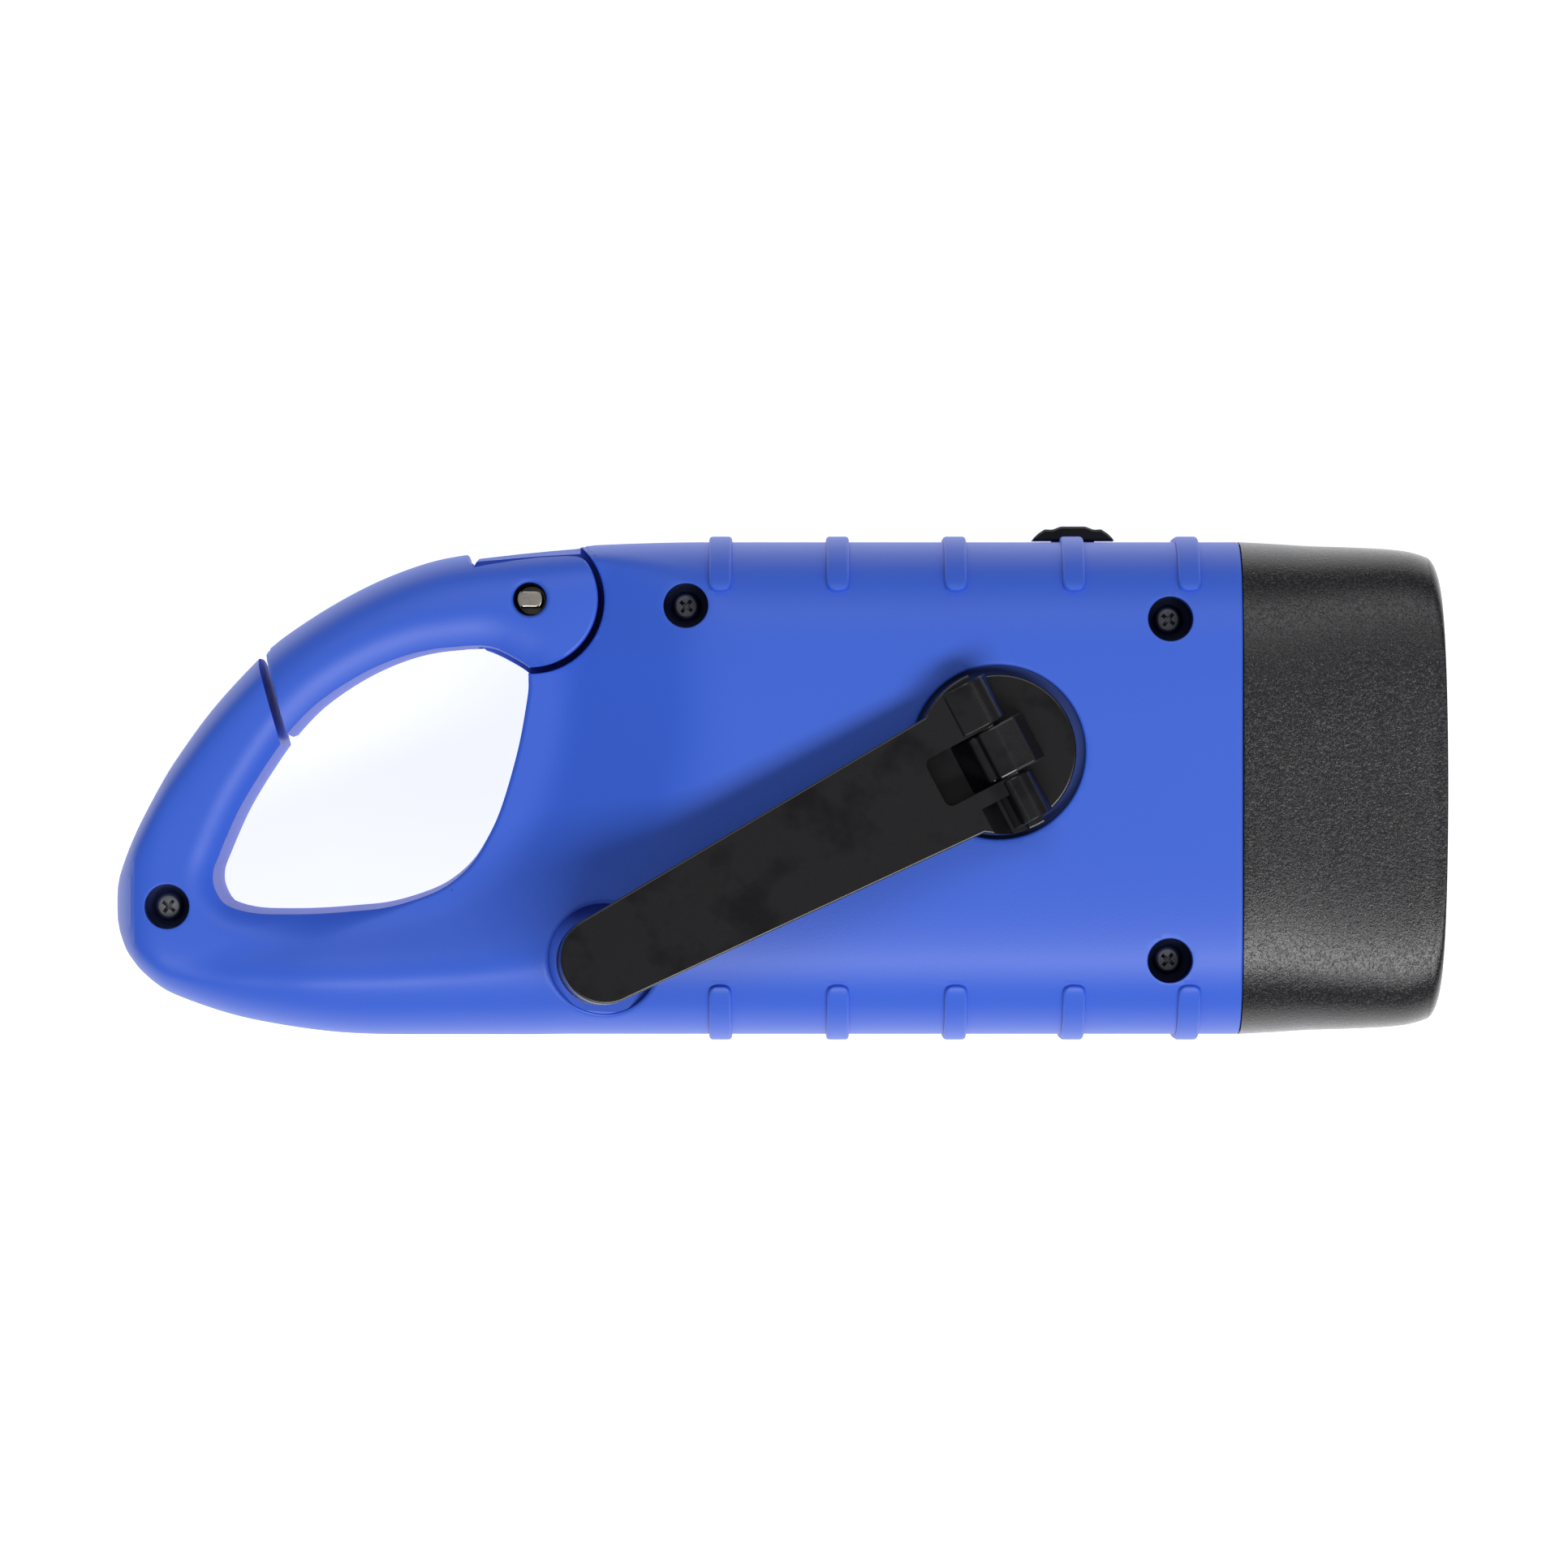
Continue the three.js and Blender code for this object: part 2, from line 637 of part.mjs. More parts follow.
// The step that the bezel slides over, and the hollow through it
const spigotShape = roundedBar(seamX - wall, seamX + spigotLength, lampWall + gap)
  .add(roundedBar(seamX - wall, seamX, wall / 2));
const spigotHollow = roundedBar(seamX - overrun, seamX + overrun, 2 * lampWall);

// Axles of the gear train, from the crank shaft to the rotor
const driveRadius = (driveTeeth * driveModule) / 2;
const drivenRadius = (pinionTeeth * driveModule) / 2;
const stepRadius = (stepTeeth * stepModule) / 2;
const stepPinionRadius = (pinionTeeth * stepModule) / 2;
const from = (at, angle, distance) => new THREE.Vector2(
  at.x + distance * Math.cos(angle), at.y + distance * Math.sin(angle));
const stepOne = from(crankPlace, stepOneAngle, driveRadius + drivenRadius);
const stepTwo = from(stepOne, stepTwoAngle, stepRadius + stepPinionRadius);
const rotorPlace = from(stepTwo, rotorAngle, stepRadius + stepPinionRadius);
const middleLevelZ = driveLevelZ - gearWidth - levelGap;
const lowLevelZ = middleLevelZ - gearWidth - levelGap;
const plateTopZ = plateLevelZ + plateThickness;
const insideTopZ = faceZ - wall;
const plateScrews = plateScrewShares.map(([x, y]) => new THREE.Vector2(
  overallLength * x, placeY(y)));

function axleBosses() {
  let all = null;
  for (const at of [stepOne, stepTwo]) {
    const boss = rod(at.x, at.y, axleBossRadius, driveLevelZ + gearWidth + axleBossGap, faceZ - wall / 2)
      .subtract(rod(at.x, at.y, axleRadius + gap, 0, insideTopZ));
    all = all ? all.add(boss) : boss;
  }
  return all;
}

// Outer shape with its dish, which the bosses inside stay within
const outerShape = bodyBlank.subtract(dishCutter(0));

// The whole case before it is split: outer shape, ribs, hollow and lamp step
function caseBlank() {
  const throat = spigotHollow.intersect(box(seamX - wall * 2, frontX, -bodyWidth, bodyWidth, 0, faceZ));
  return outerShape
    .add(ribs())
    .subtract(cavity())
    .add(spigotShape.subtract(spigotHollow))
    .subtract(throat);
}

// The cuts that run through both halves
function cutBoth(solid) {
  return solid
    .subtract(switchSlot())
    .subtract(springPocket())
    .subtract(rod(gatePivot.x, gatePivot.y, gatePinRadius + gap, 0, faceZ))
    .subtract(eyeCutter(handleHalf))
    .subtract(gateSocket());
}

function makeFrontShell() {
  const { x, y } = crankPlace;
  const recessBoss = rod(x, y, crankRecessRadius + wall, crankFloorZ, faceZ - wall / 2, roundSides);
  const pocketBoss = rod(knobPlace.x, knobPlace.y, pocketRadius + wall, pocketFloorZ - wall, faceZ,
    roundSides).intersect(outerShape);
  let solid = caseBlank().add(recessBoss).add(pocketBoss);
  for (const screw of screws) {
    const boss = rod(screw.at.x, screw.at.y, screwBossRadius, midZ, screw.topZ - wall / 2);
    solid = solid.add(boss.intersect(outerShape));
  }
  solid = solid.add(axleBosses());
  for (const screw of screws) {
    solid = solid
      .subtract(rod(screw.at.x, screw.at.y, screwRecessRadius, screw.seatZ, faceZ + overrun, roundSides))
      .subtract(rod(screw.at.x, screw.at.y, screwBoreRadius, -overrun, faceZ));
  }
  solid = solid
    .subtract(rod(x, y, crankRecessRadius, recessFloorZ, faceZ + overrun, roundSides * 2))
    .subtract(rod(x, y, crankShaftRadius + bushWall + 2 * gap, 0, faceZ, roundSides))
    .subtract(rod(knobPlace.x, knobPlace.y, pocketRadius, pocketFloorZ, faceZ + overrun, roundSides));
  return cutBoth(solid).intersect(upperHalf);
}

function makeBackShell() {
  let solid = caseBlank();
  for (const screw of screws) {
    const boss = rod(screw.at.x, screw.at.y, screwBossRadius, wall / 2, midZ);
    solid = solid.add(boss.intersect(outerShape));
  }
  for (const at of plateScrews) {
    solid = solid.add(rod(at.x, at.y, plateBossRadius, wall / 2, plateLevelZ - gap)
      .intersect(outerShape));
  }
  for (const screw of screws) {
    solid = solid.subtract(rod(screw.at.x, screw.at.y, screwBoreRadius, tipZ(screw) - gap, faceZ));
  }
  for (const at of plateScrews) {
    solid = solid.subtract(rod(at.x, at.y, plateScrewShaft + gap, plateTopZ - plateScrewLength, faceZ));
  }
  return cutBoth(solid).intersect(lowerHalf);
}

const switchSlot = () => box(
  switchX - sliderStem[0] / 2 - sliderTravel - gap, switchX + sliderStem[0] / 2 + sliderTravel + gap,
  halfWidth - wall * 2, bodyWidth, midZ - sliderStem[1] / 2 - gap, midZ + sliderStem[1] / 2 + gap);

const springPocket = () => rod(gatePivot.x, gatePivot.y, springPocketRadius,
  midZ - springPocketHalf, midZ + springPocketHalf, roundSides);

// Bezel, lens and reflector share the rounded window
function bezelSections() {
  return bezelRowShares.map(([along, wide, high]) => ({
    x: seamX + bezelLength * along,
    y: 0,
    half: halfWidth * wide,
    rise: (halfThick + crown) * high,
  }));
}

function windowPrism(grow, x0, x1) {
  const w = halfWidth * windowShares[0] + grow;
  const h = halfThick * windowShares[1] + grow;
  const r = windowCorner + grow;
  const shape = new THREE.Shape();
  shape.moveTo(w - r, -h);
  shape.absarc(w - r, -h + r, r, -Math.PI / 2, 0);
  shape.absarc(w - r, h - r, r, 0, Math.PI / 2);
  shape.absarc(-w + r, h - r, r, Math.PI / 2, Math.PI);
  shape.absarc(-w + r, -h + r, r, Math.PI, Math.PI * 1.5);
  const geometry = new THREE.ExtrudeGeometry(shape, {
    depth: x1 - x0,
    bevelEnabled: false,
    curveSegments: windowSides,
  });
  geometry.rotateX(Math.PI / 2);
  geometry.rotateZ(Math.PI / 2);
  geometry.translate(x0, 0, midZ);
  return solidOf(geometry);
}

const lensFrontX = frontX - lensDepth;
const lensBackX = lensFrontX - lensThickness;
const reflectorFrontX = lensBackX - lensSeat - gap;
const reflectorBackX = reflectorFrontX - reflectorDepth;
const ledBoardX = reflectorBackX - gap - ledBoardThickness;

function makeBezel() {
  const outer = trimFaces(loft(bezelSections()));
  const bore = roundedBar(seamX - overrun, seamX + spigotLength + gap, lampWall);
  const inner = windowPrism(reflectorInset, seamX, lensBackX - lensSeat);
  const mouth = windowPrism(-lensSeat, seamX, frontX + overrun);
  const lensRoom = windowPrism(gap, lensBackX - gap, frontX + overrun);
  return outer.subtract(bore).subtract(inner).subtract(mouth).subtract(lensRoom);
}

const makeLens = () => windowPrism(0, lensBackX, lensFrontX);

function makeReflector() {
  let solid = windowPrism(reflectorInset - gap, reflectorBackX, reflectorFrontX);
  for (const k of [-1, 0, 1]) {
    solid = solid.subtract(rodAlongX(reflectorBackX, reflectorFrontX + gap, k * cupSpacing, midZ,
      cupBack, roundSides, cupFront))
      .subtract(rodAlongX(reflectorBackX - gap, reflectorBackX + gap, k * cupSpacing, midZ,
        ledFlange + gap, roundSides));
  }
  return solid;
}

const makeLedBoard = () => windowPrism(-reflectorInset, ledBoardX, ledBoardX + ledBoardThickness);

function makeLed(y) {
  const straight = ledLength - ledRadius;
  const points = [
    new THREE.Vector2(0, 0),
    new THREE.Vector2(ledFlange, 0),
    new THREE.Vector2(ledFlange, ledFlangeThickness),
    new THREE.Vector2(ledRadius, ledFlangeThickness),
  ];
  for (let i = 0; i < ledDomeSteps; i += 1) {
    const angle = (i / ledDomeSteps) * (Math.PI / 2);
    points.push(new THREE.Vector2(ledRadius * Math.cos(angle), straight + ledRadius * Math.sin(angle)));
  }
  points.push(new THREE.Vector2(0, ledLength));
  const geometry = new THREE.LatheGeometry(points, smallSides);
  geometry.rotateZ(-Math.PI / 2);
  geometry.translate(ledBoardX + ledBoardThickness + gap / 2, y, midZ);
  return solidOf(geometry);
}

// Spur gear drawn tooth by tooth, with straight flanks and room to run
function gear(at, teeth, module, z0, z1, turn) {
  const radius = (teeth * module) / 2;
  const tip = radius + module * addendumShare;
  const root = radius - module * dedendumShare;
  const pitch = (2 * Math.PI) / teeth;
  const points = [];
  const corners = [
    [root, -rootToothShare / 2], [tip, -tipToothShare / 2],
    [tip, tipToothShare / 2], [root, rootToothShare / 2],
  ];
  for (let i = 0; i < teeth; i += 1) {
    for (const [r, share] of corners) {
      const a = turn + (i + share) * pitch;
      points.push(new THREE.Vector2(at.x + r * Math.cos(a), at.y + r * Math.sin(a)));
    }
  }
  return prism(points, z0, z1);
}

// Each wheel has a tooth on the line to the next axle, and each pinion a gap on the line back
const gapAt = (angle, teeth) => angle + Math.PI / teeth;
const stepOnePinionTurn = gapAt(stepOneAngle + Math.PI, pinionTeeth);
const stepTwoPinionTurn = gapAt(stepTwoAngle + Math.PI, pinionTeeth);
const rotorPinionTurn = gapAt(rotorAngle + Math.PI, pinionTeeth);

function makeDriveGear() {
  return gear(crankPlace, driveTeeth, driveModule, driveLevelZ, driveLevelZ + gearWidth, stepOneAngle)
    .subtract(rod(crankPlace.x, crankPlace.y, crankShaftRadius + runningGap, 0, faceZ, roundSides));
}

function makeStepGear(at, pinionModule, pinionZ, wheelZ, pinionTurn, wheelTurn) {
  return gear(at, pinionTeeth, pinionModule, wheelZ + gearWidth / 2, pinionZ + gearWidth, pinionTurn)
    .add(gear(at, stepTeeth, stepModule, wheelZ, wheelZ + gearWidth, wheelTurn))
    .subtract(rod(at.x, at.y, axleRadius + runningGap, 0, faceZ));
}

const makeStepAxle = (at) => rod(at.x, at.y, axleRadius, plateLevelZ + gap, insideTopZ - gap);

const rotorTopZ = plateLevelZ - gap - canWall * 2;
const rotorBottomZ = rotorTopZ - rotorHeight;
const canTopZ = plateLevelZ - gap;
const canBottomZ = canTopZ - canHeight;

const makeRotorPinion = () => rod(rotorPlace.x, rotorPlace.y, axleRadius, canBottomZ - gap,
  lowLevelZ + gearWidth / 2)
  .add(gear(rotorPlace, pinionTeeth, stepModule, lowLevelZ, lowLevelZ + gearWidth, rotorPinionTurn));

const makeRotorMagnet = () => ring(rotorPlace, axleRadius + gap, rotorRadius, rotorBottomZ, rotorTopZ);

const makeStatorCoil = () => ring(rotorPlace, coilInner, coilOuter,
  rotorBottomZ - (coilHeight - rotorHeight) / 2, rotorTopZ + (coilHeight - rotorHeight) / 2);

function makeGeneratorCan() {
  return rod(rotorPlace.x, rotorPlace.y, canRadius, canBottomZ, canTopZ, roundSides)
    .subtract(rod(rotorPlace.x, rotorPlace.y, canRadius - canWall, canBottomZ + canWall,
      canTopZ + overrun, roundSides))
    .subtract(rod(rotorPlace.x, rotorPlace.y, axleRadius + gap, 0, faceZ));
}

function ring(at, inner, outer, z0, z1) {
  return rod(at.x, at.y, outer, z0, z1, roundSides)
    .subtract(rod(at.x, at.y, inner, z0 - overrun, z1 + overrun, roundSides));
}

function makeGearboxPlate() {
  const [x0, x1] = plateEndShares.map((share) => overallLength * share);
  const half = boardY - boardThickness - gap;
  let plate = box(x0, x1, -half, half, plateLevelZ, plateTopZ);
  plate = plate.subtract(rod(crankPlace.x, crankPlace.y, crankShaftRadius + runningGap, 0, faceZ));
  for (const at of [stepOne, stepTwo, rotorPlace]) {
    plate = plate.subtract(rod(at.x, at.y, axleRadius + gap, 0, faceZ));
  }
  for (const at of plateScrews) {
    plate = plate.subtract(rod(at.x, at.y, plateScrewShaft + gap, 0, faceZ));
  }
  return plate
    .subtract(rod(caseScrews[0].at.x, caseScrews[0].at.y, screwBossRadius + 2 * gap, 0, faceZ, roundSides))
    .subtract(rod(gatePivot.x, gatePivot.y, gateSocketRadius + wall + gap, 0, faceZ, roundSides));
}

function makePlateScrew(at) {
  const headZ = plateTopZ + gap;
  return rod(at.x, at.y, plateScrewHead, headZ, headZ + plateScrewHeadHeight)
    .add(rod(at.x, at.y, plateScrewShaft, plateTopZ - plateScrewLength + gap, headZ + gap));
}

// Crank: the hub's disc, middle knuckle and shaft
function makeCrankHub() {
  const { x, y } = crankPlace;
  const shaftBottom = plateLevelZ + gap;
  const disc = rod(x, y, discRadius, discZ, discTopZ, roundSides * 2);
  const shaft = rod(x, y, crankShaftRadius, shaftBottom, discZ + discThickness / 2, roundSides);
  const lug = turned(lugShape(), armAngle, crankPlace);
  return disc.add(shaft).add(lug).subtract(hingeBore());
}

// Profile of the middle knuckle, across the hinge, standing on the disc
function lugShape() {
  const shape = new THREE.Shape();
  const foot = discTopZ - discThickness / 2;
  shape.moveTo(-lugHalfLength, foot);
  shape.lineTo(lugHalfLength, foot);
  shape.lineTo(lugHalfLength, discTopZ + lugFootHeight);
  shape.absarc(0, hingeZ, knuckleRadius, Math.PI * lugCrownShare, Math.PI * (1 - lugCrownShare));
  shape.lineTo(-lugHalfLength, discTopZ + lugFootHeight);
  const geometry = new THREE.ExtrudeGeometry(shape, {
    depth: lugHalfWidth * 2,
    bevelEnabled: false,
    curveSegments: lugSides,
  });
  geometry.translate(0, 0, -lugHalfWidth);
  geometry.rotateX(Math.PI / 2);
  return geometry;
}

function turned(geometry, angle, at) {
  geometry.rotateZ(angle);
  geometry.translate(at.x, at.y, 0);
  return solidOf(geometry);
}

// A rod along the hinge line through the middle of the disc
function hingeRod(radius, start, end) {
  const geometry = new THREE.CylinderGeometry(radius, radius, end - start, smallSides);
  geometry.translate(0, (start + end) / 2, 0);
  geometry.rotateZ(armAngle);
  geometry.translate(crankPlace.x, crankPlace.y, hingeZ);
  return solidOf(geometry);
}

const hingeBore = () => hingeRod(hingePinRadius + gap, -armHeadRadius, armHeadRadius);
const hingeHalf = discRadius - gap / 2;
const armUnder = armBottomZ - hingeZ;
const makeHingePin = () => hingeRod(hingePinRadius, -hingeHalf + gap, hingeHalf - gap);

// Arm drawn lying along +X from the hinge line, then turned to its side and lifted by the rest angle
function armPlan() {
  const shape = new THREE.Shape();
  const taper = Math.atan2(armRootHalf - armTipRadius, armLength - armRootX);
  const headStart = Math.asin(armRootHalf / armHeadRadius);
  shape.moveTo(0, -armHeadRadius);
  shape.absarc(0, 0, armHeadRadius, -Math.PI / 2, -headStart);
  shape.lineTo(armLength - armTipRadius * Math.sin(taper), -armTipRadius * Math.cos(taper));
  shape.absarc(armLength, 0, armTipRadius, -Math.PI / 2 - taper, Math.PI / 2 + taper);
  shape.absarc(0, 0, armHeadRadius, headStart, Math.PI / 2);
  const room = new THREE.Path();
  room.moveTo(-knuckleRadius, -armWindowHalf);
  room.lineTo(-knuckleRadius, armWindowHalf);
  room.lineTo(armWindowEnd - armWindowCorner, armWindowHalf);
  room.absarc(armWindowEnd - armWindowCorner, armWindowHalf - armWindowCorner, armWindowCorner,
    Math.PI / 2, 0, true);
  room.absarc(armWindowEnd - armWindowCorner, -armWindowHalf + armWindowCorner, armWindowCorner,
    0, -Math.PI / 2, true);
  return { shape, room };
}

function makeCrankArm() {
  const { shape, room } = armPlan();
  const options = { depth: armThickness, bevelEnabled: false, curveSegments: smallSides };
  const plan = new THREE.ExtrudeGeometry(shape, options);
  plan.translate(0, 0, armUnder);
  const window = new THREE.ExtrudeGeometry(new THREE.Shape(room.getPoints(armCornerSides)), {
    depth: overrun * 2,
    bevelEnabled: false,
  });
  window.translate(0, 0, -overrun);
  const barrel = new THREE.CylinderGeometry(knuckleRadius, knuckleRadius, hingeHalf * 2, roundSides);
  const boreLength = 2 * (armHeadRadius + overrun);
  const bore = new THREE.CylinderGeometry(hingePinRadius + gap, hingePinRadius + gap, boreLength, smallSides);
  const pinRoom = new THREE.CylinderGeometry(knobPinRadius + gap, knobPinRadius + gap, overrun, smallSides);
  pinRoom.rotateX(Math.PI / 2);
  pinRoom.translate(armLength, 0, armUnder + knobPinReach + gap - overrun / 2);
  return solidOf(plan).add(solidOf(barrel)).subtract(solidOf(window)).subtract(solidOf(bore))
    .subtract(solidOf(pinRoom));
}

// Knob and rivet hang below the tip, drawn in the same frame as the arm
function makeCrankKnob() {
  const top = armUnder - knobGap;
  const bottom = top - knobHeight;
  const profile = [
    [knobPinRadius + runningGap, bottom + knobHeadDepth],
    [knobHeadRadius + runningGap, bottom + knobHeadDepth],
    [knobHeadRadius + runningGap, bottom],
    [knobRadius - knobChamfer, bottom],
    [knobRadius, bottom + knobChamfer],
    [knobRadius, top - knobChamfer],
    [knobRadius - knobChamfer, top],
    [knobPinRadius + runningGap, top],
  ];
  const points = profile.map(([r, z]) => new THREE.Vector2(r, z));
  points.push(points[0].clone());
  const geometry = new THREE.LatheGeometry(points, roundSides);
  geometry.rotateX(Math.PI / 2);
  geometry.translate(armLength, 0, 0);
  return solidOf(geometry);
}

function makeKnobPin() {
  const headTop = armUnder - knobGap - knobHeight + knobHeadDepth - gap;
  const shaft = rod(armLength, 0, knobPinRadius, headTop - knobHeadHeight / 2, armUnder + knobPinReach);
  return shaft.add(rod(armLength, 0, knobHeadRadius, headTop - knobHeadHeight, headTop, roundSides));
}

function makeCrankBush() {
  const inner = crankShaftRadius + bushGap;
  const outer = crankShaftRadius + bushWall;
  return ring(crankPlace, inner, outer, crankFloorZ - gap, recessFloorZ)
    .add(ring(crankPlace, inner, outer + bushFlange, crankFloorZ - gap - bushFlangeThickness,
      crankFloorZ - gap));
}

function makeGearClip() {
  const inner = crankShaftRadius + runningGap;
  const top = driveLevelZ - gap;
  return ring(crankPlace, inner, inner + clipWidth, top - clipHeight, top);
}

// Battery, board and switch
const cradleHalfLength = (cellCount * cellLength) / 2 + gap;
const battery = new THREE.Vector2(
  seamX - wall - batteryEndGap - cradleHalfLength - wall / 2,
  placeY(batteryShare),
);
const batteryZ = wall + gap + cradleFloor + cellRadius;

function makeBatteryPack() {
  const length = cellCount * cellLength;
  const x0 = battery.x - length / 2;
  const points = [new THREE.Vector2(0, 0)];
  for (let i = 0; i < cellCount; i += 1) {
    const start = i * cellLength;
    points.push(new THREE.Vector2(cellRadius - cellStep, start));
    points.push(new THREE.Vector2(cellRadius, start + cellStep));
    points.push(new THREE.Vector2(cellRadius, start + cellLength - cellStep));
    points.push(new THREE.Vector2(cellRadius - cellStep, start + cellLength - cellStep / 2));
  }
  points.push(new THREE.Vector2(cellRadius - cellStep, length));
  points.push(new THREE.Vector2(0, length));
  const geometry = new THREE.LatheGeometry(points, roundSides);
  geometry.rotateZ(-Math.PI / 2);
  geometry.translate(x0, battery.y, batteryZ);
  return solidOf(geometry);
}

function makeBatteryHolder() {
  const half = cradleHalfLength;
  return box(battery.x - half - wall / 2, battery.x + half + wall / 2, battery.y - cradleHalf,
    battery.y + cradleHalf, wall + gap, wall + gap + cradleHeight)
    .subtract(rodAlongX(battery.x - half, battery.x + half, battery.y, batteryZ,
      cellRadius + gap, roundSides))
    .intersect(loft(bodySections(1, wall + gap, seamX)));
}

const makeCircuitBoard = () => box(switchX - boardLength / 2, switchX + boardLength / 2,
  boardY - boardThickness, boardY, midZ - boardHeight / 2, midZ + boardHeight / 2);

function makeSwitchBody() {
  const [length, depth, height] = switchBodySize;
  const y0 = boardY + gap;
  return box(switchX - length / 2, switchX + length / 2, y0, y0 + depth,
    midZ - height / 2, midZ + height / 2);
}

function makeSwitchSlider() {
  const base = halfWidth + gap;
  const points = sliderShares.map(([along, out]) => new THREE.Vector2(
    switchX + sliderLength * along, base + (sliderHeight - gap) * out));
  const stemEnd = boardY + gap + switchBodySize[1] + gap;
  return prism(points, midZ - sliderWidth / 2, midZ + sliderWidth / 2)
    .add(box(switchX - sliderStem[0] / 2, switchX + sliderStem[0] / 2, stemEnd,
      base + sliderHeight / 3, midZ - sliderStem[1] / 2, midZ + sliderStem[1] / 2));
}

// The finished object
const flashlight = new THREE.Group();
flashlight.name = 'hand_crank_flashlight';
const armGroup = new THREE.Group();
armGroup.position.set(crankPlace.x, crankPlace.y, hingeZ);
armGroup.rotation.set(0, -restLift, armAngle, 'ZYX');
flashlight.add(armGroup);

function add(name, solid, finish, parent = flashlight) {
  const mesh = new THREE.Mesh(geometryOf(solid), new THREE.MeshStandardMaterial(finish));
  mesh.name = name;
  parent.add(mesh);
}

add('front_shell', makeFrontShell(), blue);
add('back_shell', makeBackShell(), blue);
add('gate', makeGate(), blue);
add('gate_pin', makeGatePin(), steel);
add('gate_spring', makeGateSpring(), steel);
add('bezel', makeBezel(), grained);
add('lens', makeLens(), clear);
add('reflector', makeReflector(), mirror);
add('led_board', makeLedBoard(), greenBoard);
[-1, 0, 1].forEach((k, i) => add(`led_${i + 1}`, makeLed(k * cupSpacing), ledClear));
for (const screw of screws) add(screw.name, makeScrew(screw), darkSteel);
add('circuit_board', makeCircuitBoard(), greenBoard);
add('switch_body', makeSwitchBody(), black);
add('switch_slider', makeSwitchSlider(), black);
add('battery_pack', makeBatteryPack(), sleeve);
add('battery_holder', makeBatteryHolder(), nylon);
add('gearbox_plate', makeGearboxPlate(), nylon);
plateScrews.forEach((at, i) => add(`gearbox_screw_${i + 1}`, makePlateScrew(at), darkSteel));
add('step_axle_1', makeStepAxle(stepOne), steel);
add('step_axle_2', makeStepAxle(stepTwo), steel);
add('step_gear_1', makeStepGear(stepOne, driveModule, driveLevelZ, middleLevelZ,
  stepOnePinionTurn, stepTwoAngle), nylon);
add('step_gear_2', makeStepGear(stepTwo, stepModule, middleLevelZ, lowLevelZ,
  stepTwoPinionTurn, rotorAngle), nylon);
add('rotor_pinion', makeRotorPinion(), steel);
add('rotor_magnet', makeRotorMagnet(), ferrite);
add('stator_coil', makeStatorCoil(), copper);
add('generator_can', makeGeneratorCan(), steel);
add('drive_gear', makeDriveGear(), nylon);
add('gear_clip', makeGearClip(), steel);
add('crank_bush', makeCrankBush(), bronze);
add('crank_hub', makeCrankHub(), black);
add('hinge_pin', makeHingePin(), steel);
add('crank_arm', makeCrankArm(), black, armGroup);
add('knob_pin', makeKnobPin(), steel, armGroup);
add('crank_knob', makeCrankKnob(), black, armGroup);

export default flashlight;
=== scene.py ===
# %% [markdown]
# Hand crank flashlight, photographed from straight above.
# The packed CAD model is loaded first and never changed: it says where every piece is and what it rides on.
# This lesson dresses it: fine moulded skins take the place of the plain solids that show, and every solid
# that stays gets a finish made of shader nodes. Blender works in metres and the drawings are in millimetres,
# so all forms are built in millimetres and shrunk once, when a piece is finished.

# %% Load the frame
import json
import math

import bmesh
import bpy
import numpy as np
from mathutils import Matrix, Vector


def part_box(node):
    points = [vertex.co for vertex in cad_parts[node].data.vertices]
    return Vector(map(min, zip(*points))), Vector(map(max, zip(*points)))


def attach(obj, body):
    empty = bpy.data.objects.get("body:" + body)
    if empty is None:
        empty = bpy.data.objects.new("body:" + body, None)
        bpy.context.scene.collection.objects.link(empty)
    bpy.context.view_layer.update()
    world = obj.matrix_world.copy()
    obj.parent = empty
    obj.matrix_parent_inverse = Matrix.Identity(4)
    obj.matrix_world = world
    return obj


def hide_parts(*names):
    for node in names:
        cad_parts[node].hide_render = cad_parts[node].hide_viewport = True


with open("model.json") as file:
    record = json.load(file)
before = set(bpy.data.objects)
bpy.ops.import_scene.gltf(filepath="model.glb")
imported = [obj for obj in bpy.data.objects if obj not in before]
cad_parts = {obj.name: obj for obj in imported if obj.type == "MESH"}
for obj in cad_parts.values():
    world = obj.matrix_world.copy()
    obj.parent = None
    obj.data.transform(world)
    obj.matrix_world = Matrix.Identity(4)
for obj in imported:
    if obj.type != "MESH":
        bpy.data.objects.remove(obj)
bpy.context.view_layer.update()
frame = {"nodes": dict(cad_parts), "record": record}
MM = 0.001

# %% [markdown]
# The photograph is taken from straight above with a long lens, so nearly no side wall shows.
# Twelve pixels make a millimetre half way up the case. A camera one metre above that level, with a lens that
# sees 161 mm there, gives the same picture. The picture's middle is 0.4 mm to the switch side of the case's.

# %% Camera
MID = 18.0
PHOTO_WIDTH = 1932
PIXELS_PER_MM = 12
FAR = 1000.0
SENSOR = 36
PICTURE_MIDDLE = 0.417
camera_data = bpy.data.cameras.new("photo_camera")
camera_data.sensor_width = SENSOR
camera_data.lens = SENSOR * FAR / (PHOTO_WIDTH / PIXELS_PER_MM)
camera = bpy.data.objects.new("photo_camera", camera_data)
camera.location = Vector((0, PICTURE_MIDDLE, FAR + MID)) * MM
bpy.context.collection.objects.link(camera)
bpy.context.scene.camera = camera
print("lens", round(camera_data.lens, 1), "mm")

# %% [markdown]
# The light is read from the plastic. A soft band of light on the lower side of the case, about 30 degrees
# from overhead, lies as a pale stripe along the lower edge. A weaker one shows on the upper side. Between
# them and the floor the case goes dark, and its steep edges turn pale because they mirror a white floor.
# So there are two softboxes, a dim sky and a floor that glows a little, as a light table does.

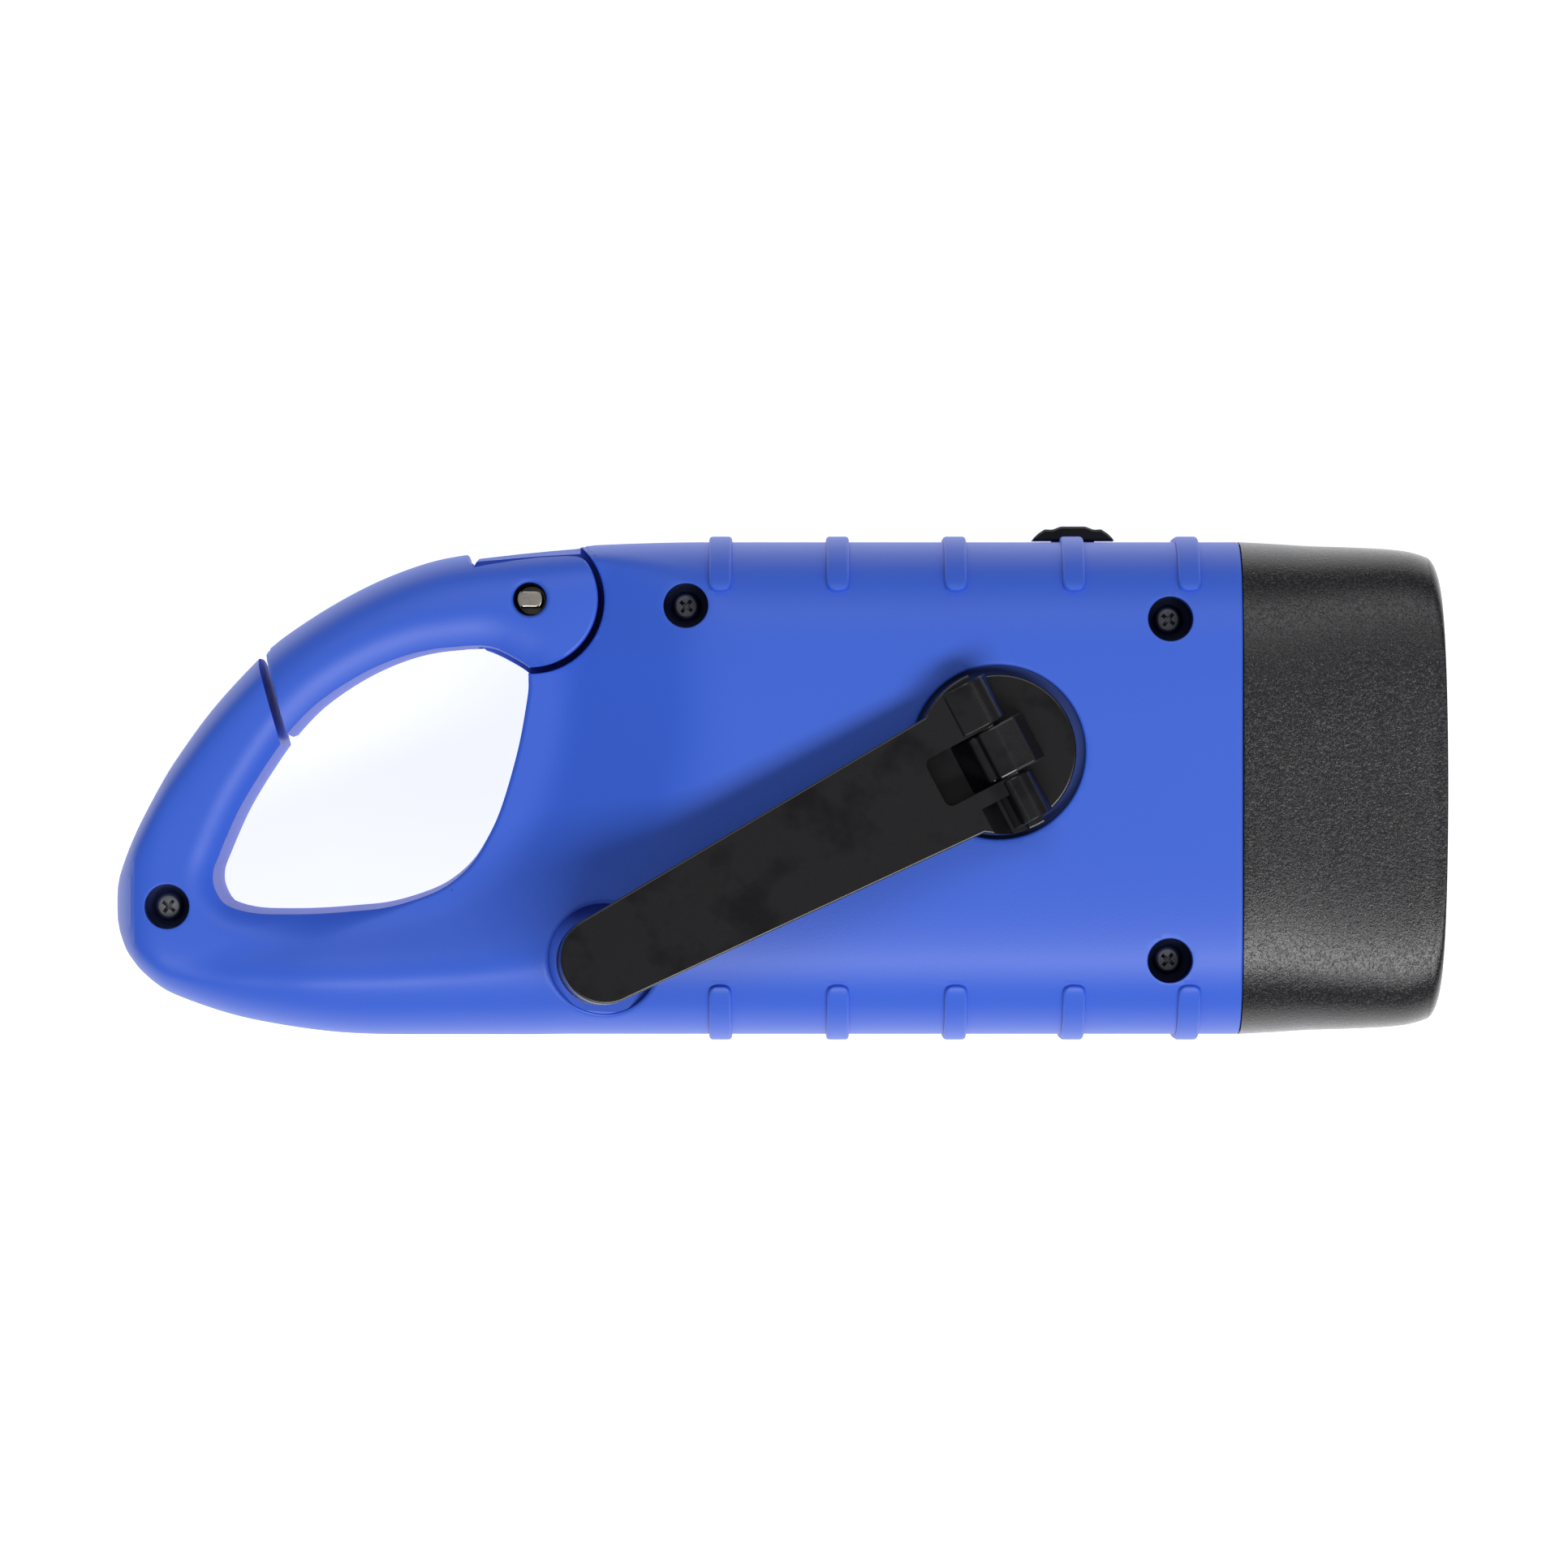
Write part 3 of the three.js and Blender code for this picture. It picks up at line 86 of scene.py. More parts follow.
# %% Lights, sky and floor
def softbox(name, across, tilt, turn, distance, watts):
    """A rectangular lamp aimed at the case, tilted from overhead and turned round it, in degrees."""
    data = bpy.data.lights.new(name, "AREA")
    data.shape = "RECTANGLE"
    data.size, data.size_y = across
    data.energy = watts
    lamp = bpy.data.objects.new(name, data)
    a, b = math.radians(tilt), math.radians(turn)
    way = Vector((math.sin(a) * math.cos(b), math.sin(a) * math.sin(b), math.cos(a)))
    lamp.location = way * distance + Vector((0, 0, MID * MM))
    lamp.rotation_euler = way.to_track_quat("Z", "Y").to_euler()
    bpy.context.collection.objects.link(lamp)


softbox("lower_softbox", across=(0.9, 0.23), tilt=31, turn=-68, distance=0.9, watts=6.2)
softbox("upper_softbox", across=(0.9, 0.34), tilt=34, turn=80, distance=0.9, watts=1.9)
world = bpy.data.worlds.new("dim_sky")
bpy.context.scene.world = world
world.use_nodes = True
world.node_tree.nodes["Background"].inputs["Color"].default_value = (0.95, 0.97, 1, 1)
world.node_tree.nodes["Background"].inputs["Strength"].default_value = 0.18
bpy.context.scene.view_settings.view_transform = "Standard"

# %% [markdown]
# Shader maths reads best as plain arithmetic. This small class wraps the output socket of a node, and adding
# or multiplying two of them adds the Math node that does it. Any other node comes from one method of the
# finish it belongs to, which sets the node's own settings first and then its sockets.

# %% A shader written as arithmetic
class Value:
    def __init__(self, finish, socket):
        self.finish, self.socket = finish, socket

    def math(self, operation, other, swap=False):
        pair = [other, self] if swap else [self, other]
        return self.finish.node("ShaderNodeMath", {"operation": operation}, {0: pair[0], 1: pair[1]})

    def __add__(self, other): return self.math("ADD", other)
    def __sub__(self, other): return self.math("SUBTRACT", other)
    def __mul__(self, other): return self.math("MULTIPLY", other)
    def __truediv__(self, other): return self.math("DIVIDE", other)
    def __radd__(self, other): return self.math("ADD", other, True)
    def __rsub__(self, other): return self.math("SUBTRACT", other, True)


class Finish:
    """One material and the nodes that drive its surface."""

    def __init__(self, name, metallic=0.0, roughness=0.5, **plain):
        self.material = bpy.data.materials.new(name)
        self.material.use_nodes = True
        self.nodes, self.links = self.material.node_tree.nodes, self.material.node_tree.links
        self.surface = self.nodes["Principled BSDF"]
        self.surface.inputs["Metallic"].default_value = metallic
        self.surface.inputs["Roughness"].default_value = roughness
        for key, value in plain.items():
            self.surface.inputs[key.replace("_", " ")].default_value = value
        self.place = self.node("ShaderNodeTexCoord", {}, {}, "Object")

    def node(self, kind, settings, sockets, output=0):
        made = self.nodes.new(kind)
        for key, value in settings.items():
            if key == "stops":
                self.stops(made.color_ramp, value)
            else:
                setattr(made, key, value)
        for key, value in sockets.items():
            self.feed(made.inputs[key], value)
        return Value(self, made.outputs[output])

    @staticmethod
    def stops(ramp, stops):
        while len(ramp.elements) < len(stops):
            ramp.elements.new(0.5)
        for element, (position, colour) in zip(ramp.elements, stops):
            element.position = position
            element.color = (*colour, 1) if isinstance(colour, tuple) else (colour, colour, colour, 1)

    def feed(self, socket, value):
        if isinstance(value, Value):
            self.links.new(value.socket, socket)
        elif isinstance(value, tuple) and len(value) == 3 and socket.type == "RGBA":
            socket.default_value = (*value, 1)
        else:
            socket.default_value = value

    def noise(self, per_mm, detail=2.0, roughness=0.5, distortion=0.0, stretch=None):
        place = self.place
        if stretch:
            place = self.node("ShaderNodeMapping", {}, {"Vector": place, "Scale": stretch})
        return self.node("ShaderNodeTexNoise", {}, {"Vector": place, "Scale": per_mm / MM, "Detail": detail,
                                                    "Roughness": roughness, "Distortion": distortion})

    def ramp(self, value, *stops):
        return self.node("ShaderNodeValToRGB", {"stops": stops}, {"Fac": value})

    def mix(self, share, first, second):
        made = self.nodes.new("ShaderNodeMix")
        made.data_type = "RGBA"
        for socket, value in ((made.inputs[0], share), (made.inputs[6], first), (made.inputs[7], second)):
            self.feed(socket, value)
        return Value(self, made.outputs[2])

    def bump(self, height, depth_mm):
        bump = self.node("ShaderNodeBump", {}, {"Height": height, "Distance": depth_mm * MM, "Strength": 1.0})
        self.feed(self.surface.inputs["Normal"], bump)

    def paint(self, **sockets):
        for key, value in sockets.items():
            self.feed(self.surface.inputs[key.replace("_", " ")], value)
        return self.material


print("a finish can", [name for name in vars(Finish) if not name.startswith("_")])

# %% [markdown]
# The floor is a plain white sheet. It has a little light of its own round the object, so it stays clean white
# in the picture and lights the undersides the way a light table does. Further out it gets dim, and the sides
# of the case that mirror the far floor go dark, as they do in the photograph.

# %% Floor
FLOOR_HALF, FLOOR_LEVEL = 6, -0.0003
white = Finish("white_floor", roughness=0.9)
white_tone = white.noise(0.004, 1.0)
away = white.node("ShaderNodeVectorMath", {"operation": "LENGTH"}, {0: white.place}, 1)
glow = white.ramp(away / 2.0, (0.06, 1.0), (0.12, 0.62), (0.5, 0.45))
white.paint(Base_Color=white.mix(white_tone, (0.55, 0.55, 0.55), (0.57, 0.57, 0.57)), Emission_Color=glow)
white.surface.inputs["Emission Strength"].default_value = 0.85
floor_mesh = bpy.data.meshes.new("floor")
floor_bm = bmesh.new()
bmesh.ops.create_grid(floor_bm, x_segments=1, y_segments=1, size=FLOOR_HALF)
bmesh.ops.translate(floor_bm, vec=(0, 0, FLOOR_LEVEL), verts=floor_bm.verts)
floor_bm.to_mesh(floor_mesh)
floor = bpy.data.objects.new("floor", floor_mesh)
floor_mesh.materials.append(white.material)
bpy.context.collection.objects.link(floor)
print("floor is", floor.dimensions.x, "m wide")

# %% [markdown]
# A form is drawn as a closed mesh, and others are joined to it or cut from it. The Boolean modifier does
# that, and its Manifold solver keeps the result closed. The CAD model's solids can be used in the same way.

# %% Cut and join closed meshes
MERGE = 0.0005


def temporary(bm):
    mesh = bpy.data.meshes.new("tool")
    bm.to_mesh(mesh)
    bm.free()
    tool = bpy.data.objects.new("tool", mesh)
    bpy.context.collection.objects.link(tool)
    return tool


def join(tool):
    return "UNION", tool


def cut(tool):
    return "DIFFERENCE", tool


def keep(tool):
    return "INTERSECT", tool


def combine(base, *steps):
    """A closed mesh after some steps: each joins a tool to it, cuts one from it or keeps what lies in one."""
    objects = [temporary(base)]
    for operation, tool in steps:
        objects.append(temporary(tool))
        modifier = objects[0].modifiers.new("step", "BOOLEAN")
        modifier.operation, modifier.object, modifier.solver = operation, objects[-1], "MANIFOLD"
    depsgraph = bpy.context.evaluated_depsgraph_get()
    result = bmesh.new()
    result.from_mesh(objects[0].evaluated_get(depsgraph).to_mesh())
    for item in objects:
        mesh = item.data
        bpy.data.objects.remove(item)
        bpy.data.meshes.remove(mesh)
    return result


def solid_of(node):
    """A merged copy of a CAD node's mesh, in millimetres."""
    bm = bmesh.new()
    bm.from_mesh(frame["nodes"][node].data)
    bmesh.ops.scale(bm, vec=(1 / MM,) * 3, verts=bm.verts)
    bmesh.ops.remove_doubles(bm, verts=bm.verts, dist=MERGE)
    return bm


def cad_case():
    """Both shells of the CAD model in one."""
    return combine(solid_of("front_shell"), join(solid_of("back_shell")))


print("both shells of the CAD model", round(cad_case().calc_volume() / 1000, 2), "cm3")

# %% [markdown]
# Three plain forms make nearly all the rest: a box, an upright rod, and a grid that is laid on any form for
# which there is a formula. A small bevel on an edge is what makes a moulding look real, because it catches
# the light, so the rod can have its rims rounded.

# %% Plain forms
def block(x0, x1, y0, y1, z0, z1):
    bm = bmesh.new()
    bmesh.ops.create_cube(bm, size=1)
    bmesh.ops.scale(bm, vec=(x1 - x0, y1 - y0, z1 - z0), verts=bm.verts)
    bmesh.ops.translate(bm, vec=((x0 + x1) / 2, (y0 + y1) / 2, (z0 + z1) / 2), verts=bm.verts)
    return bm


def soften(bm, rims, edge, segments=3):
    bmesh.ops.bevel(bm, geom=rims, offset=edge, segments=segments, profile=0.5, affect="EDGES", material=-1)


def level_edges(bm):
    return [e for e in bm.edges if abs(e.verts[0].co.z - e.verts[1].co.z) < 1e-6]


def rod(x, y, radius, z0, z1, segments=96, edge=0.0):
    """An upright round rod, whose two rims may be rounded."""
    bm = bmesh.new()
    bmesh.ops.create_cone(bm, cap_ends=True, segments=segments, radius1=radius, radius2=radius, depth=z1 - z0)
    bmesh.ops.translate(bm, vec=(x, y, (z0 + z1) / 2), verts=bm.verts)
    if edge:
        soften(bm, level_edges(bm), edge)
    return bm


def skin(rows, columns, lay):
    """A grid laid on a form: lay gets two arrays from 0 to 1 and gives x, y and z. Seams close by merging."""
    bm = bmesh.new()
    bmesh.ops.create_grid(bm, x_segments=rows, y_segments=columns, size=1)
    grid = np.array([v.co[:2] for v in bm.verts]) / 2 + 0.5
    for vert, co in zip(bm.verts, np.stack(lay(grid[:, 0], grid[:, 1]), axis=1)):
        vert.co = co
    bmesh.ops.remove_doubles(bm, verts=bm.verts, dist=MERGE)
    bmesh.ops.holes_fill(bm, edges=bm.edges, sides=0)
    bmesh.ops.recalc_face_normals(bm, faces=bm.faces)
    return bm


print("a plain rod has", len(rod(0, 0, 1, 0, 1).faces), "faces")

# %% [markdown] Each drawing ends in one function.

# %% Finish a piece
SHARP = 14


def finish_piece(name, bm, material, body, slot, *nodes):
    """Shrinks a drawing to metres and makes it a piece that rides on a body and stands for CAD nodes."""
    bmesh.ops.scale(bm, vec=(MM, MM, MM), verts=bm.verts)
    mesh = bpy.data.meshes.new(name)
    bm.to_mesh(mesh)
    bm.free()
    mesh.shade_smooth()
    mesh.set_sharp_from_angle(angle=math.radians(SHARP))
    mesh.materials.append(material)
    piece = bpy.data.objects.new(name, mesh)
    bpy.context.collection.objects.link(piece)
    evening = piece.modifiers.new("even_shading", "WEIGHTED_NORMAL")
    evening.keep_sharp = True
    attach(piece, body)
    if nodes:
        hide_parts(*nodes)
    print(name, len(mesh.polygons), "faces")


# %% [markdown]
# The case is drawn as its designers draw such a moulding: a table of stations from the tail to the collar,
# each with its upper edge, its lower edge and its thickness, in shares of the whole. Between stations the
# values run on a smooth curve. A section is a superellipse of power 4: flat faces that roll into full sides.

# %% Stations of the case
LENGTH, WIDTH, THICK = 136.7, 50.3, 36.0
TAIL, SEAM = -LENGTH / 2, LENGTH / 2 - 22.0
POWER = 4
PROFILE_STEPS = 1200
STATIONS = np.array([
    [0.0, -0.2345, -0.2345, 0.0], [0.0024, -0.184, -0.285, 0.30], [0.0085, -0.137, -0.330, 0.50],
    [0.0146, -0.098, -0.354, 0.61], [0.0207, -0.063, -0.374, 0.66], [0.0329, 0.000, -0.402, 0.70],
    [0.0451, 0.056, -0.4205, 0.715], [0.0695, 0.149, -0.4455, 0.74], [0.0939, 0.225, -0.465, 0.77],
    [0.1183, 0.290, -0.4785, 0.80], [0.1427, 0.338, -0.489, 0.83], [0.1671, 0.379, -0.4965, 0.845],
    [0.1915, 0.414, -0.5, 0.855], [0.2159, 0.442, -0.501, 0.865], [0.2402, 0.463, -0.501, 0.875],
    [0.2646, 0.475, -0.501, 0.89], [0.2890, 0.481, -0.501, 0.905], [0.3134, 0.487, -0.501, 0.925],
    [0.3378, 0.491, -0.5, 0.95], [0.3744, 0.496, -0.5, 0.98], [0.4110, 0.499, -0.5, 0.995],
    [0.4354, 0.5, -0.5, 1.0],
])


def curve(points, t, before, after):
    """Smooth values through a table of rows, at places t counted in rows, with a row more at each end."""
    rows = np.vstack([before, points, after])
    k = np.clip(t.astype(int), 0, len(points) - 2)
    s = (t - k)[:, None]
    a, b, c, d = rows[k], rows[k + 1], rows[k + 2], rows[k + 3]
    return 0.5 * (2 * b + (c - a) * s + (2 * a - 5 * b + 4 * c - d) * s ** 2
                  + (3 * b - a - 3 * c + d) * s ** 3)


# Before the tail comes the next station again, turned over. After the last one the case is straight.
fine = np.linspace(0, len(STATIONS) - 1, PROFILE_STEPS)
turned_over = STATIONS[1][[0, 2, 1, 3]] * [1, 1, 1, -1]
profile = curve(STATIONS, fine, turned_over, [0.46, 0.5, -0.5, 1.0])
profile = np.vstack([profile, [(SEAM - TAIL) / LENGTH, 0.5, -0.5, 1.0]])
profile_x = TAIL + LENGTH * np.maximum.accumulate(profile[:, 0])
profile_top, profile_low = WIDTH * profile[:, 1], WIDTH * profile[:, 2]
profile_rise = THICK / 2 * profile[:, 3]


def section_at(x):
    """Middle, half width and half thickness of the case at x."""
    top, low = np.interp(x, profile_x, profile_top), np.interp(x, profile_x, profile_low)
    return (top + low) / 2, np.maximum((top - low) / 2, 1e-6), np.interp(x, profile_x, profile_rise)


print("widest", round(float(np.ptp([profile_top.max(), profile_low.min()])), 2), "mm")

# %% [markdown]
# Round the carabiner's eye the case is dished: a flat floor runs along the handle, and a shallow ramp climbs
# from it to the full thickness. The ramp's height grows with the distance from a line round the floor, slowly
# over the first three millimetres, so that its foot is rounded too. Taking the lower of the case's height and
# the ramp's, and rounding where they cross, gives the soft crease that the photograph shows as a change of
# tone and not as an edge.

# %% Outlines and the dish
def place_shares(shares):
    return np.array([[TAIL + LENGTH * x, WIDTH * y] for x, y in shares])


def closed_curve(points, count):
    """A smooth closed line through points, cut into count equal steps."""
    loop = np.vstack([points, points[:1]])
    dense = curve(loop, np.linspace(0, len(points), 40 * len(points) + 1), points[-1], points[1])
    along = np.concatenate([[0], np.cumsum(np.linalg.norm(np.diff(dense, axis=0), axis=1))])
    at = np.linspace(0, along[-1], count + 1)[:-1]
    line = np.stack([np.interp(at, along, dense[:, k]) for k in (0, 1)], axis=1)
    area = np.sum(line[:, 0] * np.roll(line[:, 1], -1) - np.roll(line[:, 0], -1) * line[:, 1])
    return line if area > 0 else line[::-1]


def distance_outside(x, y, line):
    """How far each place lies outside a closed line, and less than 0 for places inside it."""
    near = np.full(x.shape, 1e9)
    inside = np.zeros(x.shape, bool)
    for (ax, ay), (bx, by) in zip(line, np.roll(line, -1, axis=0)):
        dx, dy = bx - ax, by - ay
        s = np.clip(((x - ax) * dx + (y - ay) * dy) / (dx * dx + dy * dy), 0, 1)
        near = np.minimum(near, (x - ax - s * dx) ** 2 + (y - ay - s * dy) ** 2)
        if ay != by:
            inside ^= ((ay > y) != (by > y)) & (x < ax + (y - ay) / (by - ay) * dx)
    return np.where(inside, -1, 1) * np.sqrt(near)


EYE = closed_curve(place_shares([
    [0.0768, -0.172], [0.0799, -0.205], [0.0878, -0.2285], [0.1061, -0.2425], [0.1305, -0.245],
    [0.1549, -0.2435], [0.1793, -0.2385], [0.2037, -0.2315], [0.2280, -0.2135], [0.2476, -0.190],
    [0.2646, -0.152], [0.2768, -0.104], [0.2890, -0.0315], [0.3012, 0.083], [0.3079, 0.1805],
    [0.3091, 0.220], [0.3061, 0.240], [0.2768, 0.280], [0.2524, 0.280], [0.2280, 0.270],
    [0.2037, 0.248], [0.1793, 0.2145], [0.1549, 0.169], [0.1378, 0.124], [0.1238, 0.076],
    [0.1061, 0.003], [0.0939, -0.056], [0.0817, -0.1325]]), 220)
DISH = closed_curve(place_shares([
    [-0.06, 0.60], [0.335, 0.60], [0.339, 0.28], [0.337, 0.12], [0.324, -0.02], [0.299, -0.14],
    [0.259, -0.22], [0.207, -0.26], [0.149, -0.284], [0.098, -0.334], [0.054, -0.378], [-0.06, -0.44]]), 90)
HANDLE_HALF, GATE_HALF = 12.0, 13.4
RAMP_RUN = 14.0
RAMP_SLOPE = (THICK / 2 - HANDLE_HALF) / RAMP_RUN
CREASE, GATE_CREASE = 1.4, 3.0
FOOT = 3.0


def lower_of(a, b, soft):
    """The smaller of two heights, rounded where they cross."""
    blend = np.maximum(soft - np.abs(a - b), 0) / soft
    return np.minimum(a, b) - blend ** 2 * soft / 4


def case_cap(x, y, inset=0.0):
    away = distance_outside(x, y, DISH) + FOOT / 2
    climb = np.clip(away, 0, FOOT) ** 2 / (2 * FOOT) + np.maximum(away - FOOT, 0)
    ramp = HANDLE_HALF + RAMP_SLOPE * climb
    return lower_of(ramp, THICK / 2, CREASE) - inset


def gate_cap(x, y, inset=0.0):
    return np.full(np.shape(x), GATE_HALF - inset)


SOFT = {case_cap: CREASE, gate_cap: GATE_CREASE}


def height_at(x, y, cap):
    """Height of a skin over the middle level."""
    middle, half, rise = section_at(x)
    body = rise * np.maximum(1 - np.abs((y - middle) / half) ** POWER, 0) ** (1 / POWER)
    return lower_of(body, cap(x, y), SOFT[cap])


print("eye", np.ptp(EYE[:, 0]).round(1), "x", np.ptp(EYE[:, 1]).round(1), "mm")

# %% [markdown]
# The skin is a grid. Its rows are sections from the tail to the seam, and its columns run round each section
# in equal steps. Where a section stands higher than the dish allows, it is pressed down to it. The last rows
# roll in by a small radius at the seam, and a shallow groove shows where the two shells meet.

# %% Loft the case's skin
SEAM_EDGE, SEAM_STEPS = 0.28, 4
GROOVE, GROOVE_HALF = 0.14, 0.16
RING_SAMPLES = 20001


def loft(cap, steps, round_steps, inset=0.0, groove=0.0):
    """The closed form of the case between tail and seam, drawn in by a wall."""
    angle = np.linspace(0, 2 * math.pi, RING_SAMPLES)
    bend = lambda w: np.sign(w) * np.abs(w) ** (2 / POWER)
    shape = np.stack([bend(np.cos(angle)), bend(np.sin(angle)) * THICK / WIDTH], axis=1)
    along = np.concatenate([[0], np.cumsum(np.linalg.norm(np.diff(shape, axis=0), axis=1))])
    track = np.concatenate([[0], np.cumsum(np.hypot(np.diff(profile_x), np.diff(profile_top) * 0.7) + 1e-9)])
    lip = [math.pi / 2 * k / SEAM_STEPS for k in range(1, SEAM_STEPS + 1)]

    def lay(u, v):
        k = np.rint(u * steps).astype(int)
        x = np.interp(k / (steps - len(lip)) * track[-1], track, profile_x)
        x = np.where(x > SEAM - SEAM_EDGE, SEAM - SEAM_EDGE, x)
        turn = np.array([0.0] * (steps - len(lip) + 1) + lip)[k]
        x = x + SEAM_EDGE * np.sin(turn)
        middle, half, rise = section_at(np.minimum(x, SEAM))
        drawn_in = inset + SEAM_EDGE * (1 - np.cos(turn)) * 0.8
        half, rise = np.maximum(half - drawn_in, 0), np.maximum(rise - drawn_in, 0)
        turn = np.interp(v * along[-1], along, angle)
        across, up = bend(np.cos(turn)), bend(np.sin(turn))
        y, h = middle + half * across, rise * up
        limit = cap(x, y, drawn_in)
        h = np.sign(h) * np.maximum(lower_of(np.abs(h), limit, SOFT[cap]), 0)
        seam = groove * np.clip(1 - np.abs(h) / GROOVE_HALF, 0, 1)
        return x, y - np.sign(across) * seam, MID + h

    return skin(steps, round_steps, lay)


BOW_AT = 20.4


def section_loft(rows, round_steps):
    """A form through sections: x, half width, half thickness, how far the sides bow back, and the power."""
    def lay(u, v):
        k = np.rint(u * (len(rows) - 1)).astype(int)
        turn = v * 2 * math.pi
        bend = lambda w: np.sign(w) * np.abs(w) ** (2 / rows[k, 4])
        # The power spreads the steps apart at the middle of each side, and this draws them together there.
        turn = turn - 0.25 * np.sin(4 * turn)
        y = rows[k, 1] * bend(np.cos(turn))
        return rows[k, 0] - rows[k, 3] * (y / BOW_AT) ** 2, y, MID + rows[k, 2] * bend(np.sin(turn))

    return skin(len(rows) - 1, round_steps, lay)


def sleeve_bar(inset, x0, x1):
    half, rise = WIDTH / 2 - inset, THICK / 2 - inset
    return section_loft(np.array([[x0, half, rise, 0, POWER], [x1, half, rise, 0, POWER]]), 120)


case = loft(case_cap, 170, 240, groove=GROOVE)
print("case volume", round(case.calc_volume() / 1000, 1), "cm3,", len(case.faces), "faces")

# %% [markdown]
# Every hole in a moulding has a small radius at its rim, and that radius is what catches the light.
# A cutter for such a hole is a stack of copies of its outline. Each copy stands some way outside the outline
# and some way below the skin, and follows the skin's height, so the rim keeps the same radius all the way
# round, also where the case is curved. The same stack with the outline drawn in trims a piece to a rounded
# rim.

# %% Tools with rounded rims
BACK = 24.0
CROWN_STEPS = 12
CROWN_EDGE = 0.18


def fillet(radius, steps, sign):
    """Steps of a rounded rim: how far out, and how far below the skin."""
    turns = [k / steps * math.pi / 2 for k in range(steps + 1)]
    quarter = [(sign * radius * (1 - math.cos(t)), radius * (1 - math.sin(t))) for t in turns]
    beyond = sign * (1.1 * radius + 0.15)
    return quarter + [(beyond, -0.02 - 0.01 * radius), (beyond, None)]


def outward_of(outline):
    """Unit directions that point out of a closed line that runs anticlockwise."""
    along = np.roll(outline, -1, axis=0) - np.roll(outline, 1, axis=0)
    return np.stack([along[:, 1], -along[:, 0]], axis=1) / np.linalg.norm(along, axis=1)[:, None]


def crown(width, depth):
    """Steps of a rim that is crowned instead: a small radius, and then a long shallow slope."""
    run = [k / CROWN_STEPS for k in range(CROWN_STEPS + 1)]
    slope = [(CROWN_EDGE + (width - CROWN_EDGE) * s, depth * (1 - s) ** 2) for s in run]
    return [(0.0, depth + 0.22), (0.05, depth + 0.09)] + slope + [(width + 0.5, -0.05), (width + 0.5, None)]


def rim_tool(outline, radius, base, cap=case_cap, side=1, sign=1, steps=5, share=None, draft=0.0,
             crowned=None):
    """A tool with a rounded rim at the skin. Base is the level that it starts from, over the middle."""
    outward = outward_of(outline)
    share = np.ones(len(outline)) if share is None else share
    rings = crown(*crowned) if crowned else fillet(radius, steps, sign)

    def ring(k):
        if k == 0:
            place = outline - outward * np.reshape(draft, (-1, 1))
            return place, np.full(len(outline), base)
        out, drop = rings[k - 1]
        place = outline + outward * (out * share)[:, None]
        if drop is None:
            return place, np.full(len(outline), BACK)
        height = height_at(place[:, 0], place[:, 1], cap)
        return place, height - drop * share

    levels = [ring(k) for k in range(len(rings) + 1)]
    table = np.array([np.column_stack([place, height]) for place, height in levels])
    count = len(outline)

    def lay(u, v):
        row = np.rint(u * (len(levels) - 1)).astype(int)
        column = np.rint(v * count).astype(int) % count
        spot = table[row, column]
        return spot[:, 0], spot[:, 1], MID + side * spot[:, 2]

    return skin(len(levels) - 1, count, lay)


def circle(x, y, radius, count=96):
    turn = np.arange(count) / count * 2 * math.pi
    return np.stack([x + radius * np.cos(turn), y + radius * np.sin(turn)], axis=1)


print("rings in a rim", len(fillet(0.18, 3, 1)), "and in a crown", len(crown(3.0, 1.2)))

# %% [markdown]
# The five ribs on each side are moulded bars that wrap the case from face to face. Their ends on the faces
# are domed in plan and sink into the skin. Each is a bar laid along the section's own curve.

# %% Ribs
RIBS = [TAIL + LENGTH * share for share in (0.4527, 0.5399, 0.6271, 0.7146, 0.8)]
RIB_WIDTH, RIB_HEIGHT, RIB_FOOT, RIB_EDGE = 2.3, 0.58, 0.9, 0.34
RIB_REACH = 5.3


def rib(x, side):
    """One rib, at x on one side of the case."""
    half_turn = np.linspace(math.pi / 2, -math.pi / 2, 4001)
    bend = lambda w: np.sign(w) * np.abs(w) ** (2 / POWER)
    path = np.stack([WIDTH / 2 * bend(np.cos(half_turn)), THICK / 2 * bend(np.sin(half_turn))], axis=1)
    path = path[path[:, 0] > WIDTH / 2 - RIB_REACH]
    along = np.concatenate([[0], np.cumsum(np.linalg.norm(np.diff(path, axis=0), axis=1))])
    slope = np.gradient(path, axis=0)
    outward = np.stack([-slope[:, 1], slope[:, 0]], axis=1) / np.linalg.norm(slope, axis=1)[:, None]
    w, h, f, e = RIB_WIDTH / 2, RIB_HEIGHT, RIB_FOOT, RIB_EDGE
    corner = [(w - e + e * math.cos(t), h - e + e * math.sin(t)) for t in np.linspace(0, math.pi / 2, 5)]
    loop = np.array([(w, -f)] + corner + [(-a, b) for a, b in corner[::-1]] + [(-w, -f)])
    round_ends = 1 - np.cos(np.linspace(0, math.pi / 2, 9))
    stations = np.concatenate([w * round_ends, np.linspace(w, along[-1] - w, 60)[1:-1],
                               along[-1] - w * round_ends[::-1]])

    def lay(u, v):
        s = stations[np.rint(u * (len(stations) - 1)).astype(int)]
        spot = loop[np.rint(v * len(loop)).astype(int) % len(loop)]
        end = np.minimum(np.minimum(s, along[-1] - s) / w, 1)
        narrow = np.maximum(1 - (1 - end) ** 3, 0.004) ** (1 / 3)
        lift = np.where(spot[:, 1] > 0, spot[:, 1] - h * (1 - narrow) * 0.5, spot[:, 1])
        base = np.stack([np.interp(s, along, path[:, k]) + np.interp(s, along, outward[:, k]) * lift
                         for k in (0, 1)], axis=1)
        return x + spot[:, 0] * narrow, side * base[:, 0], MID + base[:, 1]

    return skin(len(stations) - 1, len(loop), lay)


print("ribs at", [round(x, 1) for x in RIBS])

